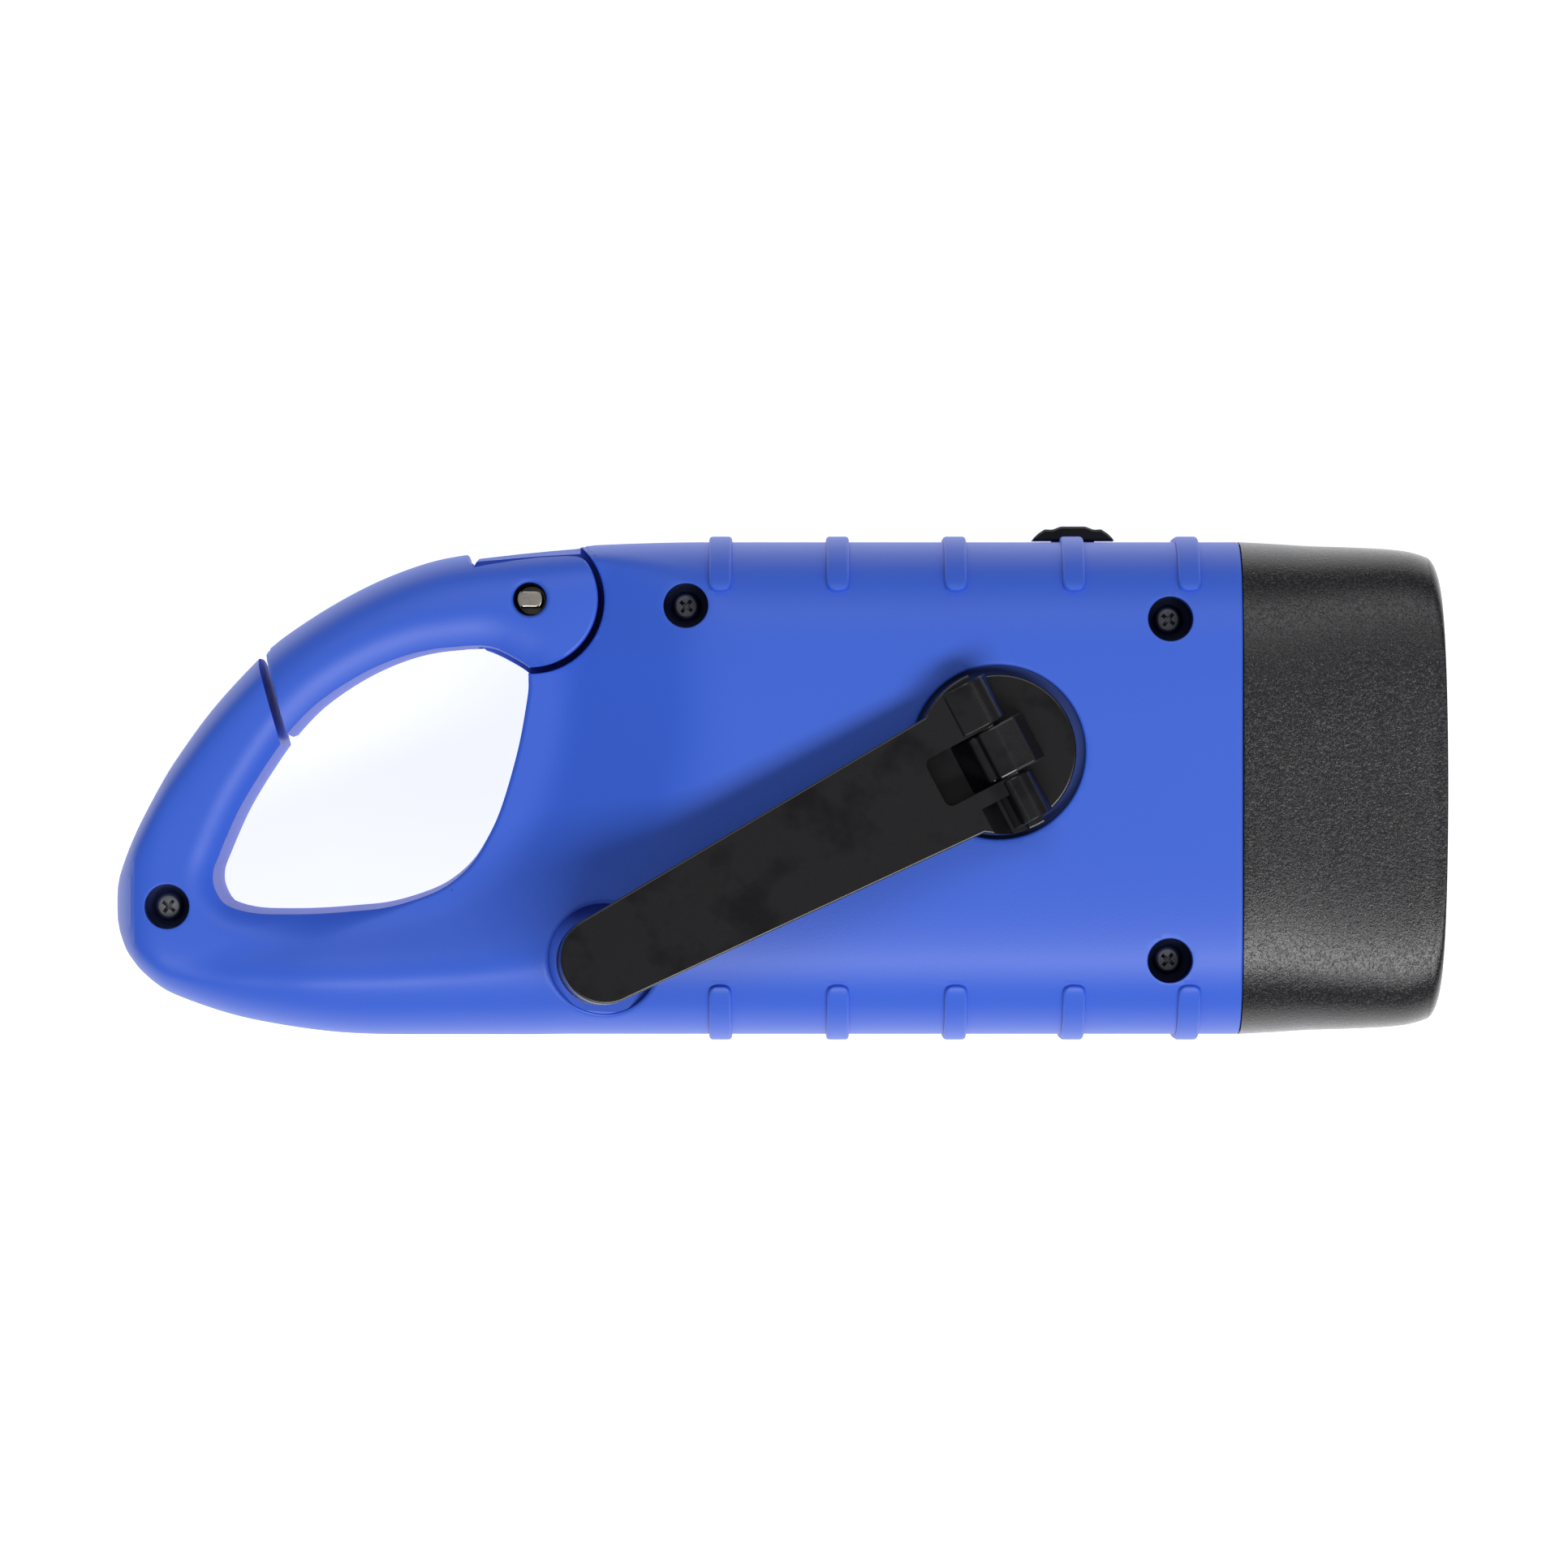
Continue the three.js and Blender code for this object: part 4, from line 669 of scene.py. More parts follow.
# %% [markdown]
# What stands on the case is placed in shares of its length and width, measured in the photograph. Only the
# knob's place is worked out, from the hub, the angle of the arm and its reach. Holes come with the depth of
# their floors over the middle level.

# %% Places on the case
PIVOT = np.array([TAIL + LENGTH * 0.3115, WIDTH * 0.381])
HUB = np.array([TAIL + LENGTH * 0.6583, WIDTH * 0.0727])
ARM_TURN = math.radians(207.7)
ARM_REACH = 45.0
KNOB = HUB + ARM_REACH * np.array([math.cos(ARM_TURN), math.sin(ARM_TURN)])
CASE_SCREWS = [(TAIL + LENGTH * x, WIDTH * y)
               for x, y in ((0.4274, 0.367), (0.7855, 0.340), (0.7852, -0.3465))]
TAIL_SCREW = (TAIL + LENGTH * 0.0419, WIDTH * -0.239)
SCREW_HOLE, SCREW_SEAT, TAIL_SEAT = 2.25, 9.0, 7.0
HUB_HOLE, HUB_FLOOR = 8.76, 15.8
KNOB_HOLE, KNOB_FLOOR = 5.6, 13.45
HEEL, SOCKET, WEB = 6.9, 7.3, 4.5
PIN_HOLE = 1.55
SLIDE_X = TAIL + LENGTH * 0.7165
HOLLOW_X = TAIL + LENGTH * 0.345
print("hub at", HUB.round(2), "knob at", KNOB.round(2), "gate pin at", PIVOT.round(2))

# %% [markdown]
# The case is one blue plastic with a fine spark-eroded texture from its mould. The grain is only a few
# hundredths of a millimetre, so it does its work through roughness: highlights spread into soft bands.
# A slow, weak change of tone keeps large faces from looking like flat paint. Shade is painted into the
# recesses of the hub, the gate pin and the screws: on the front side, inside a ring round each one, the
# colour is darkened towards a deep navy.

# %% Blue case plastic
SPREAD = 0.05
# The deep navy that the recesses are darkened towards: painted shade.
PAINTED_SHADE = (0.003, 0.005, 0.02)


def plastic(name, tone, shade, roughness, grain=0.012, grain_per_mm=5.0, recesses=()):
    finish = Finish(name, roughness=roughness)
    cloud = finish.noise(0.05, 3.0)
    speck = finish.noise(grain_per_mm, 3.0, 0.6)
    finish.bump(speck, grain)
    colour = finish.mix(cloud, tone, shade)
    if recesses:
        plan = finish.node("ShaderNodeVectorMath", {"operation": "MULTIPLY"}, {0: finish.place, 1: (1, 1, 0)})
        level = finish.node("ShaderNodeSeparateXYZ", {}, {"Vector": finish.place}, 2)
        above = level.math("GREATER_THAN", MID * MM)
    # Painted shade: on the front side, inside a ring round each recess, the colour is mixed towards that
    # navy.
    for (x, y), radius, shade_share in recesses:
        spot = (x * MM, y * MM, 0)
        away = finish.node("ShaderNodeVectorMath", {"operation": "DISTANCE"}, {0: plan, 1: spot}, 1)
        colour = finish.mix(away.math("LESS_THAN", radius * MM) * above * shade_share, colour, PAINTED_SHADE)
    return finish.paint(Base_Color=colour, Roughness=roughness - SPREAD / 2 + speck * SPREAD)


# Recesses that get painted shade: centre, radius of the ring and how far the colour goes dark.
SHADED_RECESSES = [(HUB, HUB_HOLE + 0.04, 0.6), (PIVOT, 1.7, 0.75)]
SHADED_RECESSES += [(place, SCREW_HOLE + 0.03, 0.75) for place in CASE_SCREWS + [TAIL_SCREW]]
blue = plastic("blue_case_plastic", (0.040, 0.131, 0.725), (0.036, 0.123, 0.69), 0.44, recesses=SHADED_RECESSES)
print(blue.name, "has", len(blue.node_tree.nodes), "nodes")

# %% [markdown]
# The outside of the shells is drawn here, but their inside is the CAD model's: posts, seats and room for
# the works. The hollow is found by taking a form one millimetre under the skin and cutting the CAD shells
# from it, with plugs in the holes that open outwards. What is left is cut out of the fine case.

# %% Hollow
WALL = 1.0
plugs = [(*HUB, HUB_HOLE + 0.6, MID + HUB_FLOOR - 0.5), (*KNOB, KNOB_HOLE + 0.5, MID + KNOB_FLOOR - 0.5),
         (*PIVOT, SOCKET + 1.2, -BACK)]
plugs += [(x, y, SCREW_HOLE + 0.4, MID + SCREW_SEAT - 0.4) for x, y in CASE_SCREWS]
hollow = combine(loft(case_cap, 60, 80, inset=WALL),
                 keep(block(HOLLOW_X, SEAM + 1, -WIDTH, WIDTH, -1, THICK + 1)), cut(cad_case()),
                 *[cut(rod(x, y, radius, z, THICK + 1)) for x, y, radius, z in plugs])
print("hollow", round(hollow.calc_volume() / 1000, 1), "cm3")

# %% [markdown]
# Where a face lies flat, a cutter can be a plain outline, pulled upright. Each of its rings may also be grown
# a little, which gives a chamfer or a rounded rim on a flat face.

# %% Straight cutters
def stacked(outline, *rings):
    """An upright form on an outline. A ring says how far the outline is grown, and at what level."""
    outline = np.array(outline, float)
    outward = outward_of(outline)
    table = np.array(rings)

    def lay(u, v):
        grow, level = table[np.rint(u * (len(table) - 1)).astype(int)].T
        k = np.rint(v * len(outline)).astype(int) % len(outline)
        spot = outline[k] + outward[k] * grow[:, None]
        return spot[:, 0], spot[:, 1], level

    return skin(len(table) - 1, len(outline), lay)


def flat_tool(outline, z0=-4, z1=40):
    """A straight cutter, which goes right through the case if no levels are given."""
    return stacked(outline, (0, z0), (0, z1))


print("a square cutter has", len(flat_tool([(0, 0), (1, 0), (1, 1), (0, 1)]).faces), "faces")

# %% [markdown]
# Where the gate meets the case, the real mouldings fit like a tongue and a fork: the case has a thin web with
# the pin through it, and the gate's round heel sits over it. So the case loses the heel's socket on both
# sides, the room of the arm, and the notch where the two outlines meet. The eye's rim is a wide radius along
# the tail and a small one along the case, so it takes a share of the crown that changes along the outline.

# %% Cutters of the eye and the gate
END_GAP = 0.95
gate_line = place_shares([(0.1078, 0.262), (0.1262, 0.086)])
gate_along = (gate_line[1] - gate_line[0]) / np.linalg.norm(gate_line[1] - gate_line[0])
gate_side = np.array([-gate_along[1], gate_along[0]])


def gate_plan(grow):
    """Outline of the gate's arm, from its free end to the hinge, before the case's edge trims it."""
    x, y = PIVOT
    start = gate_line[0] + gate_side * (END_GAP - grow) - gate_along * 8
    end = gate_line[1] + gate_side * (END_GAP - grow) + gate_along * 4
    corners = [start, end, (end[0] + 8, WIDTH * 0.12 - grow), (x - SOCKET, y - SOCKET),
               (x - SOCKET * 0.5, y - SOCKET * 0.567), (x - SOCKET * 0.72, WIDTH / 2 + 8),
               (start[0], WIDTH / 2 + 8)]
    line = []
    for a, b in zip(corners, corners[1:] + corners[:1]):
        a, b = np.array(a), np.array(b)
        steps = max(2, int(np.linalg.norm(b - a) / 0.6))
        line += [a + (b - a) * k / steps for k in range(steps)]
    return np.array(line)


eye_share = np.clip(1 - (EYE[:, 0] + 46.5 - 0.35 * (EYE[:, 1] + 4)) / 12, 0, 1)
eye_share = 0.16 + 0.84 * eye_share ** 2 * (3 - 2 * eye_share)
eye_draft = 0.15 + 0.35 * np.clip(-outward_of(EYE)[:, 1], 0, 1)
EYE_TOP = EYE + outward_of(EYE) * eye_draft[:, None]
EYE_CROWN, GATE_CROWN = (3.0, 1.2), (4.2, 1.25)
NOTCH = [(-29.6, 26.5), (-32.9, 26.5), (-32.2, 22.75), (-31.8, 22.75), (-30.95, 23.7)]
WEB_TRIM = [(-19.5, 27), (-31.4, 27), (-31.4, 23.42), (-30.0, 23.6), (-27.0, 23.95), (-24.0, 24.25),
            (-21.5, 24.47), (-19.5, 24.75)]
STRIP, STRIP_FROM, STRIP_LONG = 0.85, -33.0, 12.2


def web_edge(side):
    """A cutter that makes the strip of web outside the gate's heel slope steeply to the outline."""
    corners = np.array([(-STRIP, WEB + 0.03), (-0.01, 1.2), (2.0, 1.2), (2.0, 12.0), (-STRIP, 12.0)])

    def lay(u, v):
        x = STRIP_FROM + STRIP_LONG * u
        middle, half = section_at(x)[:2]
        spot = corners[np.rint(v * len(corners)).astype(int) % len(corners)]
        return x, middle + half + spot[:, 0], MID + side * spot[:, 1]

    return skin(12, len(corners), lay)


print("the gate's free end runs between", gate_line.round(1).tolist())

# %% [markdown]
# A mould gives each recess a level floor and a rim of its own. The cutters for all of them are gathered in
# one list, so that the case is cut once. Those of the eye, the gate and its web are there for both sides.

# %% Cutters of the case
SIDES = (1, -1)
SOCKET_SHIFT, SOCKET_RIM = 0.12, 0.22
SCREW_RIM, HUB_RIM, KNOB_RIM = 0.18, 0.35, 0.6
SHANK_HOLE, SHANK_FROM = 1.25, 6.0
SPRING_ROOM, SPRING_HALF = 3.1, 3
SHAFT_HOLE, SHAFT_FROM = 3.5, 8
SLOT_LONG, SLOT_DEEP, SLOT_WIDE = 4, 4, 1.5
cuts = [cut(flat_tool(NOTCH)), cut(flat_tool(WEB_TRIM))]
for side in SIDES:
    z0, z1 = sorted((MID + side * WEB, MID + side * 30))
    socket_line = circle(PIVOT[0] + SOCKET_SHIFT, PIVOT[1] - SOCKET_SHIFT, SOCKET + SOCKET_SHIFT)
    cuts.append(cut(web_edge(side)))
    cuts.append(cut(rim_tool(EYE_TOP, 0, 0.0, side=side, share=eye_share, draft=eye_draft,
                             crowned=EYE_CROWN)))
    cuts.append(cut(rim_tool(socket_line, SOCKET_RIM, WEB, side=side, steps=3)))
    cuts.append(cut(flat_tool(gate_plan(0.0), z0, z1)))
    cuts.append(cut(block(PIVOT[0] - SOCKET, PIVOT[0] + HEEL * 0.75, PIVOT[1], 40, z0, z1)))
cuts.append(cut(combine(flat_tool(gate_plan(END_GAP)), cut(rod(*PIVOT, HEEL, -5, 41)))))
cuts.append(cut(rod(*PIVOT, PIN_HOLE, -1, 41, 48)))
cuts.append(cut(rod(*PIVOT, SPRING_ROOM, MID - SPRING_HALF, MID + SPRING_HALF, 48)))
cuts.append(cut(block(SLIDE_X - SLOT_LONG, SLIDE_X + SLOT_LONG, WIDTH / 2 - SLOT_DEEP, 40,
                      MID - SLOT_WIDE, MID + SLOT_WIDE)))
for (x, y), seat in [(place, SCREW_SEAT) for place in CASE_SCREWS] + [(TAIL_SCREW, TAIL_SEAT)]:
    cuts.append(cut(rim_tool(circle(x, y, SCREW_HOLE), SCREW_RIM, seat, steps=3)))
    cuts.append(cut(rod(x, y, SHANK_HOLE, SHANK_FROM, MID + seat + 1, 32)))
cuts.append(cut(rim_tool(circle(*HUB, HUB_HOLE, 160), HUB_RIM, HUB_FLOOR, steps=4)))
cuts.append(cut(rod(*HUB, SHAFT_HOLE, MID + SHAFT_FROM, MID + HUB_FLOOR + 1, 64)))
cuts.append(cut(rim_tool(circle(*KNOB, KNOB_HOLE, 120), KNOB_RIM, KNOB_FLOOR, steps=5)))
print(len(cuts), "cutters")

# %% [markdown]
# First the ribs go on, then the hollow comes out, and the collar's seat is added, which is the CAD model's
# own spigot. Then come the cutters, and the case is parted at its middle level into the two shells.

# %% Cut and part the case
spigot = combine(cad_case(), keep(sleeve_bar(2.22, SEAM - 0.05, SEAM + 8)))
case = combine(case, *[join(rib(x, side)) for x in RIBS for side in SIDES])
print("with ribs", round(case.calc_volume() / 1000, 1))
case = combine(case, cut(hollow), join(spigot))
print("hollowed", round(case.calc_volume() / 1000, 1))
case = combine(case, *cuts)
print("cut", round(case.calc_volume() / 1000, 1))
for name, node, z0, z1 in (("front_case", "front_shell", MID, 60), ("back_case", "back_shell", -30, MID)):
    half = combine(case.copy(), keep(block(TAIL - 5, -TAIL, -WIDTH, WIDTH, z0, z1)))
    print(node, round(half.calc_volume() / 1000, 2), "cm3")
    finish_piece(name, half, blue, "root", "blue_plastic", node)
case.free()

# %% [markdown]
# The gate is the sprung arm of the carabiner. It is a moulding of its own, as round as the case's edge, with
# a wide soft radius towards the eye, a round heel that turns in the case, and a deep hole for its pin.

# %% Gate
HEEL_TOP = [(-33, 30), (TAIL - 1, 30), (TAIL - 1, -5), (0, -5), (0, 22.65), (-19.82, 22.65), (-20.06, 22.98),
            (-20.45, 23.3), (-21.0, 23.5), (-22.2, 23.57), (-24.7, 23.45), (-27.2, 23.15), (-30.0, 22.7),
            (-31.6, 22.4), (-32.4, 26)]
GATE_RIM, GATE_FROM = 0.3, -17.0
PIN_RECESS, PIN_RIM, PIN_DEEP = 1.67, 0.5, 4.4
lift = np.clip((EYE[:, 0] + 31.6) / 2.2, 0, 1) * (EYE[:, 1] > 6)
GATE_EYE = EYE + outward_of(EYE) * (0.2 + 0.38 * lift)[:, None]


def gate_trim(outline, side):
    return rim_tool(outline, GATE_RIM, GATE_FROM, cap=gate_cap, side=side, sign=-1, steps=3)


steps = [keep(combine(gate_trim(gate_plan(0.0), side), join(gate_trim(circle(*PIVOT, HEEL, 120), side))))
         for side in SIDES]
steps += [keep(flat_tool(HEEL_TOP)), cut(flat_tool(NOTCH))]
steps += [cut(rim_tool(GATE_EYE, 0, 0.0, cap=gate_cap, side=side, draft=0.2, crowned=GATE_CROWN))
          for side in SIDES]
steps.append(cut(rod(*PIVOT, SOCKET, MID - WEB - 0.3, MID + WEB + 0.3)))
steps += [cut(rim_tool(circle(*PIVOT, PIN_RECESS), PIN_RIM, GATE_HALF - PIN_DEEP, cap=gate_cap, side=side))
          for side in SIDES]
steps.append(cut(rod(*PIVOT, PIN_HOLE, -1, 41, 48)))
gate = combine(loft(gate_cap, 150, 200), *steps)
print("gate", round(gate.calc_volume() / 1000, 2), "cm3")
finish_piece("gate_arm", gate, blue, "gate", "blue_plastic", "gate")

# %% [markdown]
# The collar round the lamp is a separate black moulding with a leather grain. It tapers a little, rolls over
# at the front and ends in a window with rounded corners. It is lofted like the case, and its window, its
# seat for the lens and the sleeve that slides over the case are cut from it.

# %% Collar
COLLAR_BODY = np.array([
    [0.0, 0.9935, 0.992, 0, 4], [0.004, 0.998, 0.997, 0, 4], [0.012, 1.0, 1.0, 0, 4],
    [0.18, 0.9925, 0.988, 0, 4.1], [0.34, 0.984, 0.975, 0, 4.3], [0.52, 0.979, 0.963, 0, 4.6],
    [0.7, 0.972, 0.951, 0, 4.9], [0.8, 0.965, 0.943, 0.15, 5.1], [0.87, 0.957, 0.938, 0.35, 5.2],
    [0.9419, 0.940, 0.930, 0.5, 5.3]])
FACE_HALF, FACE_RISE, FACE_BOW, FACE_POWER = 0.811, 0.912, 0.5, 5.3
COLLAR_ROLL = [[0.9419 + 0.0581 * math.sin(a), FACE_HALF + 0.129 * math.cos(a),
                FACE_RISE + 0.018 * max(1 - math.sin(a) ** 6, 0) ** (1 / 6), FACE_BOW, FACE_POWER]
               for a in np.linspace(0.12, math.pi / 2, 16)]
COLLAR_FACE = [[1, w, w / FACE_HALF * FACE_RISE, FACE_BOW, FACE_POWER] for w in (0.7, 0.55, 0.4, 0.2)]
FRONT = LENGTH / 2 - 1.25
COLLAR_GAP = 0.13
SPIGOT = LENGTH / 2 - 21.5
WINDOW_HALF, WINDOW_RISE, WINDOW_CORNER = WIDTH / 2 * 0.84, THICK / 2 * 0.76, 6.5
LIP, MOUTH, MOUTH_ROLL = 0.9, 0.3, 0.7
lens_back, lens_front = (corner.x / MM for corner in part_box("lens"))


def window_bar(*rings):
    """A bar along X with the window's rounded section. A ring is x and how far the outline is grown there."""
    turn = np.concatenate([np.linspace(0, 90, 13) + 90 * k for k in range(4)])
    away = np.stack([np.cos(np.radians(turn)), np.sin(np.radians(turn))], axis=1)
    centre = np.repeat([[1, 1], [-1, 1], [-1, -1], [1, -1]], 13, axis=0)
    centre = centre * [WINDOW_HALF - WINDOW_CORNER, WINDOW_RISE - WINDOW_CORNER]
    table = np.array(rings)

    def lay(u, v):
        x, grow = table[np.rint(u * (len(table) - 1)).astype(int)].T
        k = np.rint(v * len(turn)).astype(int) % len(turn)
        spot = centre[k] + away[k] * (WINDOW_CORNER + grow)[:, None]
        return x, spot[:, 0], MID + spot[:, 1]

    return skin(len(table) - 1, len(turn), lay)


body_rows = curve(COLLAR_BODY, np.linspace(0, len(COLLAR_BODY) - 1, 64), [-0.012, 0.985, 0.985, 0, 4],
                  [0.96, 0.915, 0.925, 0.5, 5.3])
body_rows[:, 1:3] = np.minimum(body_rows[:, 1:3], 1.0)
collar_rows = np.vstack([body_rows, COLLAR_ROLL, COLLAR_FACE])
collar_rows = collar_rows * [FRONT - SEAM - COLLAR_GAP, WIDTH / 2, THICK / 2, 1, 1] \
    + [SEAM + COLLAR_GAP, 0, 0, 0, 0]
mouth = [(FRONT - 0.8 + MOUTH_ROLL * math.sin(t), MOUTH + MOUTH_ROLL * (1 - math.cos(t)))
         for t in np.linspace(0, math.pi / 2.2, 6)]
collar = combine(section_loft(collar_rows, 240),
                 cut(sleeve_bar(2.2, SEAM - 4, SPIGOT + 3.7)),
                 cut(window_bar((SEAM, 1.2), (lens_back - LIP, 1.2))),
                 cut(window_bar((SEAM, -LIP), (LENGTH / 2 + 5, -LIP))),
                 cut(window_bar((lens_back - 0.3, MOUTH), (lens_front + 0.1, MOUTH), *mouth,
                                (LENGTH / 2 + 2, 1.0))))
print("collar", round(collar.calc_volume() / 1000, 2), "cm3")

# %% [markdown]
# Leather grain on a mould is a net of fine creases, not a cloud. Noise that is stretched and folded with the
# absolute value of its middle gives wandering creases. A finer noise paints pale specks into the colour:
# painted glints where the light would graze the grain. The height is real only to the light, so it goes
# through a Bump node. The crank's black is smoother: handling has polished it in soft patches, and a little
# dust lies on it.

# %% Black finishes
grain = Finish("leather_grain_plastic", roughness=0.4, Specular_IOR_Level=0.6)
crease_a = grain.noise(2.8, 3.0, 0.6, 0.5, stretch=(1.2, 0.9, 0.9))
crease_b = grain.noise(5.4, 3.0, 0.6, 0.3)
folds = (crease_a - 0.5).math("ABSOLUTE", 0) * 2.0
speck = grain.noise(7.0, 2.0, 0.7)
grain.bump(crease_a * 0.7 + folds * 0.5 + crease_b * 0.6, 0.06)
# Painted glints: where the fine noise is high, pale specks are mixed into the colour.
painted_glints = grain.ramp(speck, (0.59, 0.0), (0.70, 1.0))
collar_black = grain.paint(Base_Color=grain.mix(painted_glints, (0.0085, 0.0081, 0.0098), (0.080, 0.077, 0.083)),
                           Roughness=0.20 - folds * 0.05 + speck * 0.05)

satin = Finish("satin_black_plastic", roughness=0.36, Specular_IOR_Level=0.5)
smoke = satin.noise(0.16, 3.0, 0.6)
dust = satin.noise(6.0, 2.0, 0.6)
satin.bump(dust, 0.006)
worn = satin.ramp(smoke, (0.36, 0.0), (0.52, 1.0))
polish = satin.ramp(smoke, (0.36, 1.0), (0.52, 0.0))
satin_black = satin.paint(Base_Color=satin.mix(worn, (0.0036, 0.0034, 0.0044), (0.0066, 0.0062, 0.0075)),
                          Roughness=0.26 - polish * 0.06 + dust * 0.04)
finish_piece("lamp_collar", collar, collar_black, "root", "grained_plastic", "bezel")

# %% [markdown]
# The crank's hub is a turned disc with the middle knuckle of the hinge standing on it. The knuckle has a flat
# top, a steep face to the outside, and a step towards the arm. All its edges are softened a little.

# %% Crank hub
HINGE_Z, HINGE_HOLE = 38.3, 0.9
DISC_RADIUS, DISC_LOW, DISC_TOP = 7.85, 34.15, 35.65
SHAFT_RADIUS, SHAFT_TOP = 2.0, 35
LUG_HALF = 2.6
turn_to_arm = Matrix.Translation((*HUB, 0)) @ Matrix.Rotation(ARM_TURN, 4, "Z")


def extruded(corners, width, edge=0.0, segments=2):
    """A profile in u and w, stretched evenly across the hinge, with softened edges."""
    bm = bmesh.new()
    face = bm.faces.new([bm.verts.new((u, -width / 2, w)) for u, w in corners])
    grown = bmesh.ops.extrude_face_region(bm, geom=[face])["geom"]
    far_end = [part for part in grown if isinstance(part, bmesh.types.BMVert)]
    bmesh.ops.translate(bm, vec=(0, width, 0), verts=far_end)
    bmesh.ops.recalc_face_normals(bm, faces=bm.faces)
    if edge:
        soften(bm, [e for e in bm.edges if e.calc_face_angle(0) > 0.5], edge, segments)
    return bm


def moved(bm, matrix):
    bmesh.ops.transform(bm, matrix=matrix, verts=bm.verts)
    return bm


def hinge_rod(radius, half, edge=0.0, w=0.0):
    bm = rod(0, 0, radius, -half, half, 48, edge=edge)
    return moved(bm, Matrix.Translation((0, 0, w)) @ Matrix.Rotation(math.pi / 2, 4, "X"))


def arc(radius, start, end, steps, u=0.0, w=0.0):
    return [(u + radius * math.cos(math.radians(a)), w + radius * math.sin(math.radians(a)))
            for a in np.linspace(start, end, steps)]


lug = extruded([(-4.0, DISC_TOP - 0.6), (4.15, DISC_TOP - 0.6), (4.15, DISC_TOP + 0.25),
                (2.75, HINGE_Z - 0.1), (2.3, HINGE_Z + 1.25), (1.75, HINGE_Z + 1.45), (1.45, HINGE_Z + 1.3),
                (1.1, HINGE_Z + 2.08)] + arc(2.25, 75, 112, 6, -0.2, HINGE_Z - 0.05)
               + [(-2.9, HINGE_Z + 1.75), (-3.85, HINGE_Z - 1.2)], 2 * LUG_HALF, 0.28, 3)
hub_disc = rod(0, 0, DISC_RADIUS, DISC_LOW, DISC_TOP, 128, edge=0.22)
hub_shaft = rod(0, 0, SHAFT_RADIUS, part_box("crank_hub")[0].z / MM, SHAFT_TOP, 64, edge=0.2)
hub = combine(hub_disc, join(hub_shaft), join(lug), cut(hinge_rod(HINGE_HOLE, 9, w=HINGE_Z)))
finish_piece("crank_turntable", moved(hub, turn_to_arm), satin_black, "crank", "black_plastic", "crank_hub")

# %% [markdown]
# The arm is drawn lying flat, from the hinge line to its round tip, and then turned and lifted to where it
# rests. Its plate has a fine chamfer that draws the bright line along its lower edge. Two ears carry round
# knuckles that stand higher than the plate, with a small ridge where they begin.

# %% Crank arm
ARM_LIFT = math.radians(6)
to_arm = Matrix.Translation((*HUB, HINGE_Z)) @ Matrix.Rotation(ARM_TURN, 4, "Z") \
    @ Matrix.Rotation(-ARM_LIFT, 4, "Y")
TIP, ROOT_HALF, ROOT_U, HEAD = 4.5, 6.5, 5.6, 8.35
PLATE_LOW, PLATE_TOP = -1.35, 1.65
ROOM_END, ROOM_HALF, ROOM_CORNER = 7.8, 3.05, 1.2
EAR_IN, EAR_OUT, PLATE_EDGE = 2.9, 7.7, 0.18
RIVET_HOLE = 1.12


def plate(outline, low, high, edge):
    """A flat plate on an outline, with both rims rounded in three steps."""
    turns = [math.pi / 2 * k / 3 for k in range(4)]
    rings = [(-edge * (1 - math.sin(a)), low + edge * (1 - math.cos(a))) for a in turns]
    return stacked(outline, *rings, *[(grow, low + high - level) for grow, level in rings[::-1]])


taper = math.degrees(math.atan2(ROOT_HALF - TIP, ARM_REACH - ROOT_U))
head_angle = math.degrees(math.asin(ROOT_HALF / HEAD))
outline = arc(TIP, -90 - taper, 90 + taper, 40, ARM_REACH) + arc(HEAD, head_angle, 100, 16) \
    + arc(HEAD, -100, -head_angle, 16)
room = [(-12, -ROOM_HALF), (-12, ROOM_HALF)] \
    + arc(ROOM_CORNER, 90, 0, 7, ROOM_END - ROOM_CORNER, ROOM_HALF - ROOM_CORNER) \
    + arc(ROOM_CORNER, 0, -90, 7, ROOM_END - ROOM_CORNER, -ROOM_HALF + ROOM_CORNER)
upper_ear = [(2.75, 0.4), (2.75, PLATE_TOP - 0.1), (2.5, PLATE_TOP + 0.3), (1.6, PLATE_TOP + 0.42)] \
    + arc(2.35, 75, 200, 14) + [(0, -1.2)]
lower_ear = [(2.6, -0.6), (2.2, 0.3), (1.5, 0.75), (1.25, PLATE_TOP + 0.2), (0.95, PLATE_TOP + 0.5),
             (0.6, PLATE_TOP + 0.42)] + arc(2.1, 82, 200, 14) + [(0, -1.2)]


def ear(profile, v0, v1):
    return moved(extruded(profile, v1 - v0, PLATE_EDGE), Matrix.Translation((0, (v0 + v1) / 2, 0)))


pit = extruded([(1.0, 2.4), (1.1, 0.35), (2.6, 0.15), (4.6, PLATE_TOP + 0.1), (4.6, 2.4)], 4.4)
arm = combine(plate(outline, PLATE_LOW, PLATE_TOP, PLATE_EDGE),
              cut(flat_tool([(-12, -12), (-0.6, -12), (-0.6, 12), (-12, 12)], -3, 3)),
              cut(moved(pit, Matrix.Translation((0, 6.5, 0)))),
              join(ear(upper_ear, -EAR_OUT, -EAR_IN)), join(ear(lower_ear, EAR_IN, EAR_OUT)),
              cut(stacked(room, (0, -5), (0, PLATE_TOP - 0.32), (0.05, PLATE_TOP - 0.16),
                          (0.16, PLATE_TOP - 0.06), (0.42, PLATE_TOP + 0.015), (0.42, 5))),
              cut(hinge_rod(HINGE_HOLE, 12)),
              cut(rod(ARM_REACH, 0, RIVET_HOLE, -4, PLATE_LOW + 1.1, 48)))
print("arm", round(arm.calc_volume(), 1), "mm3")
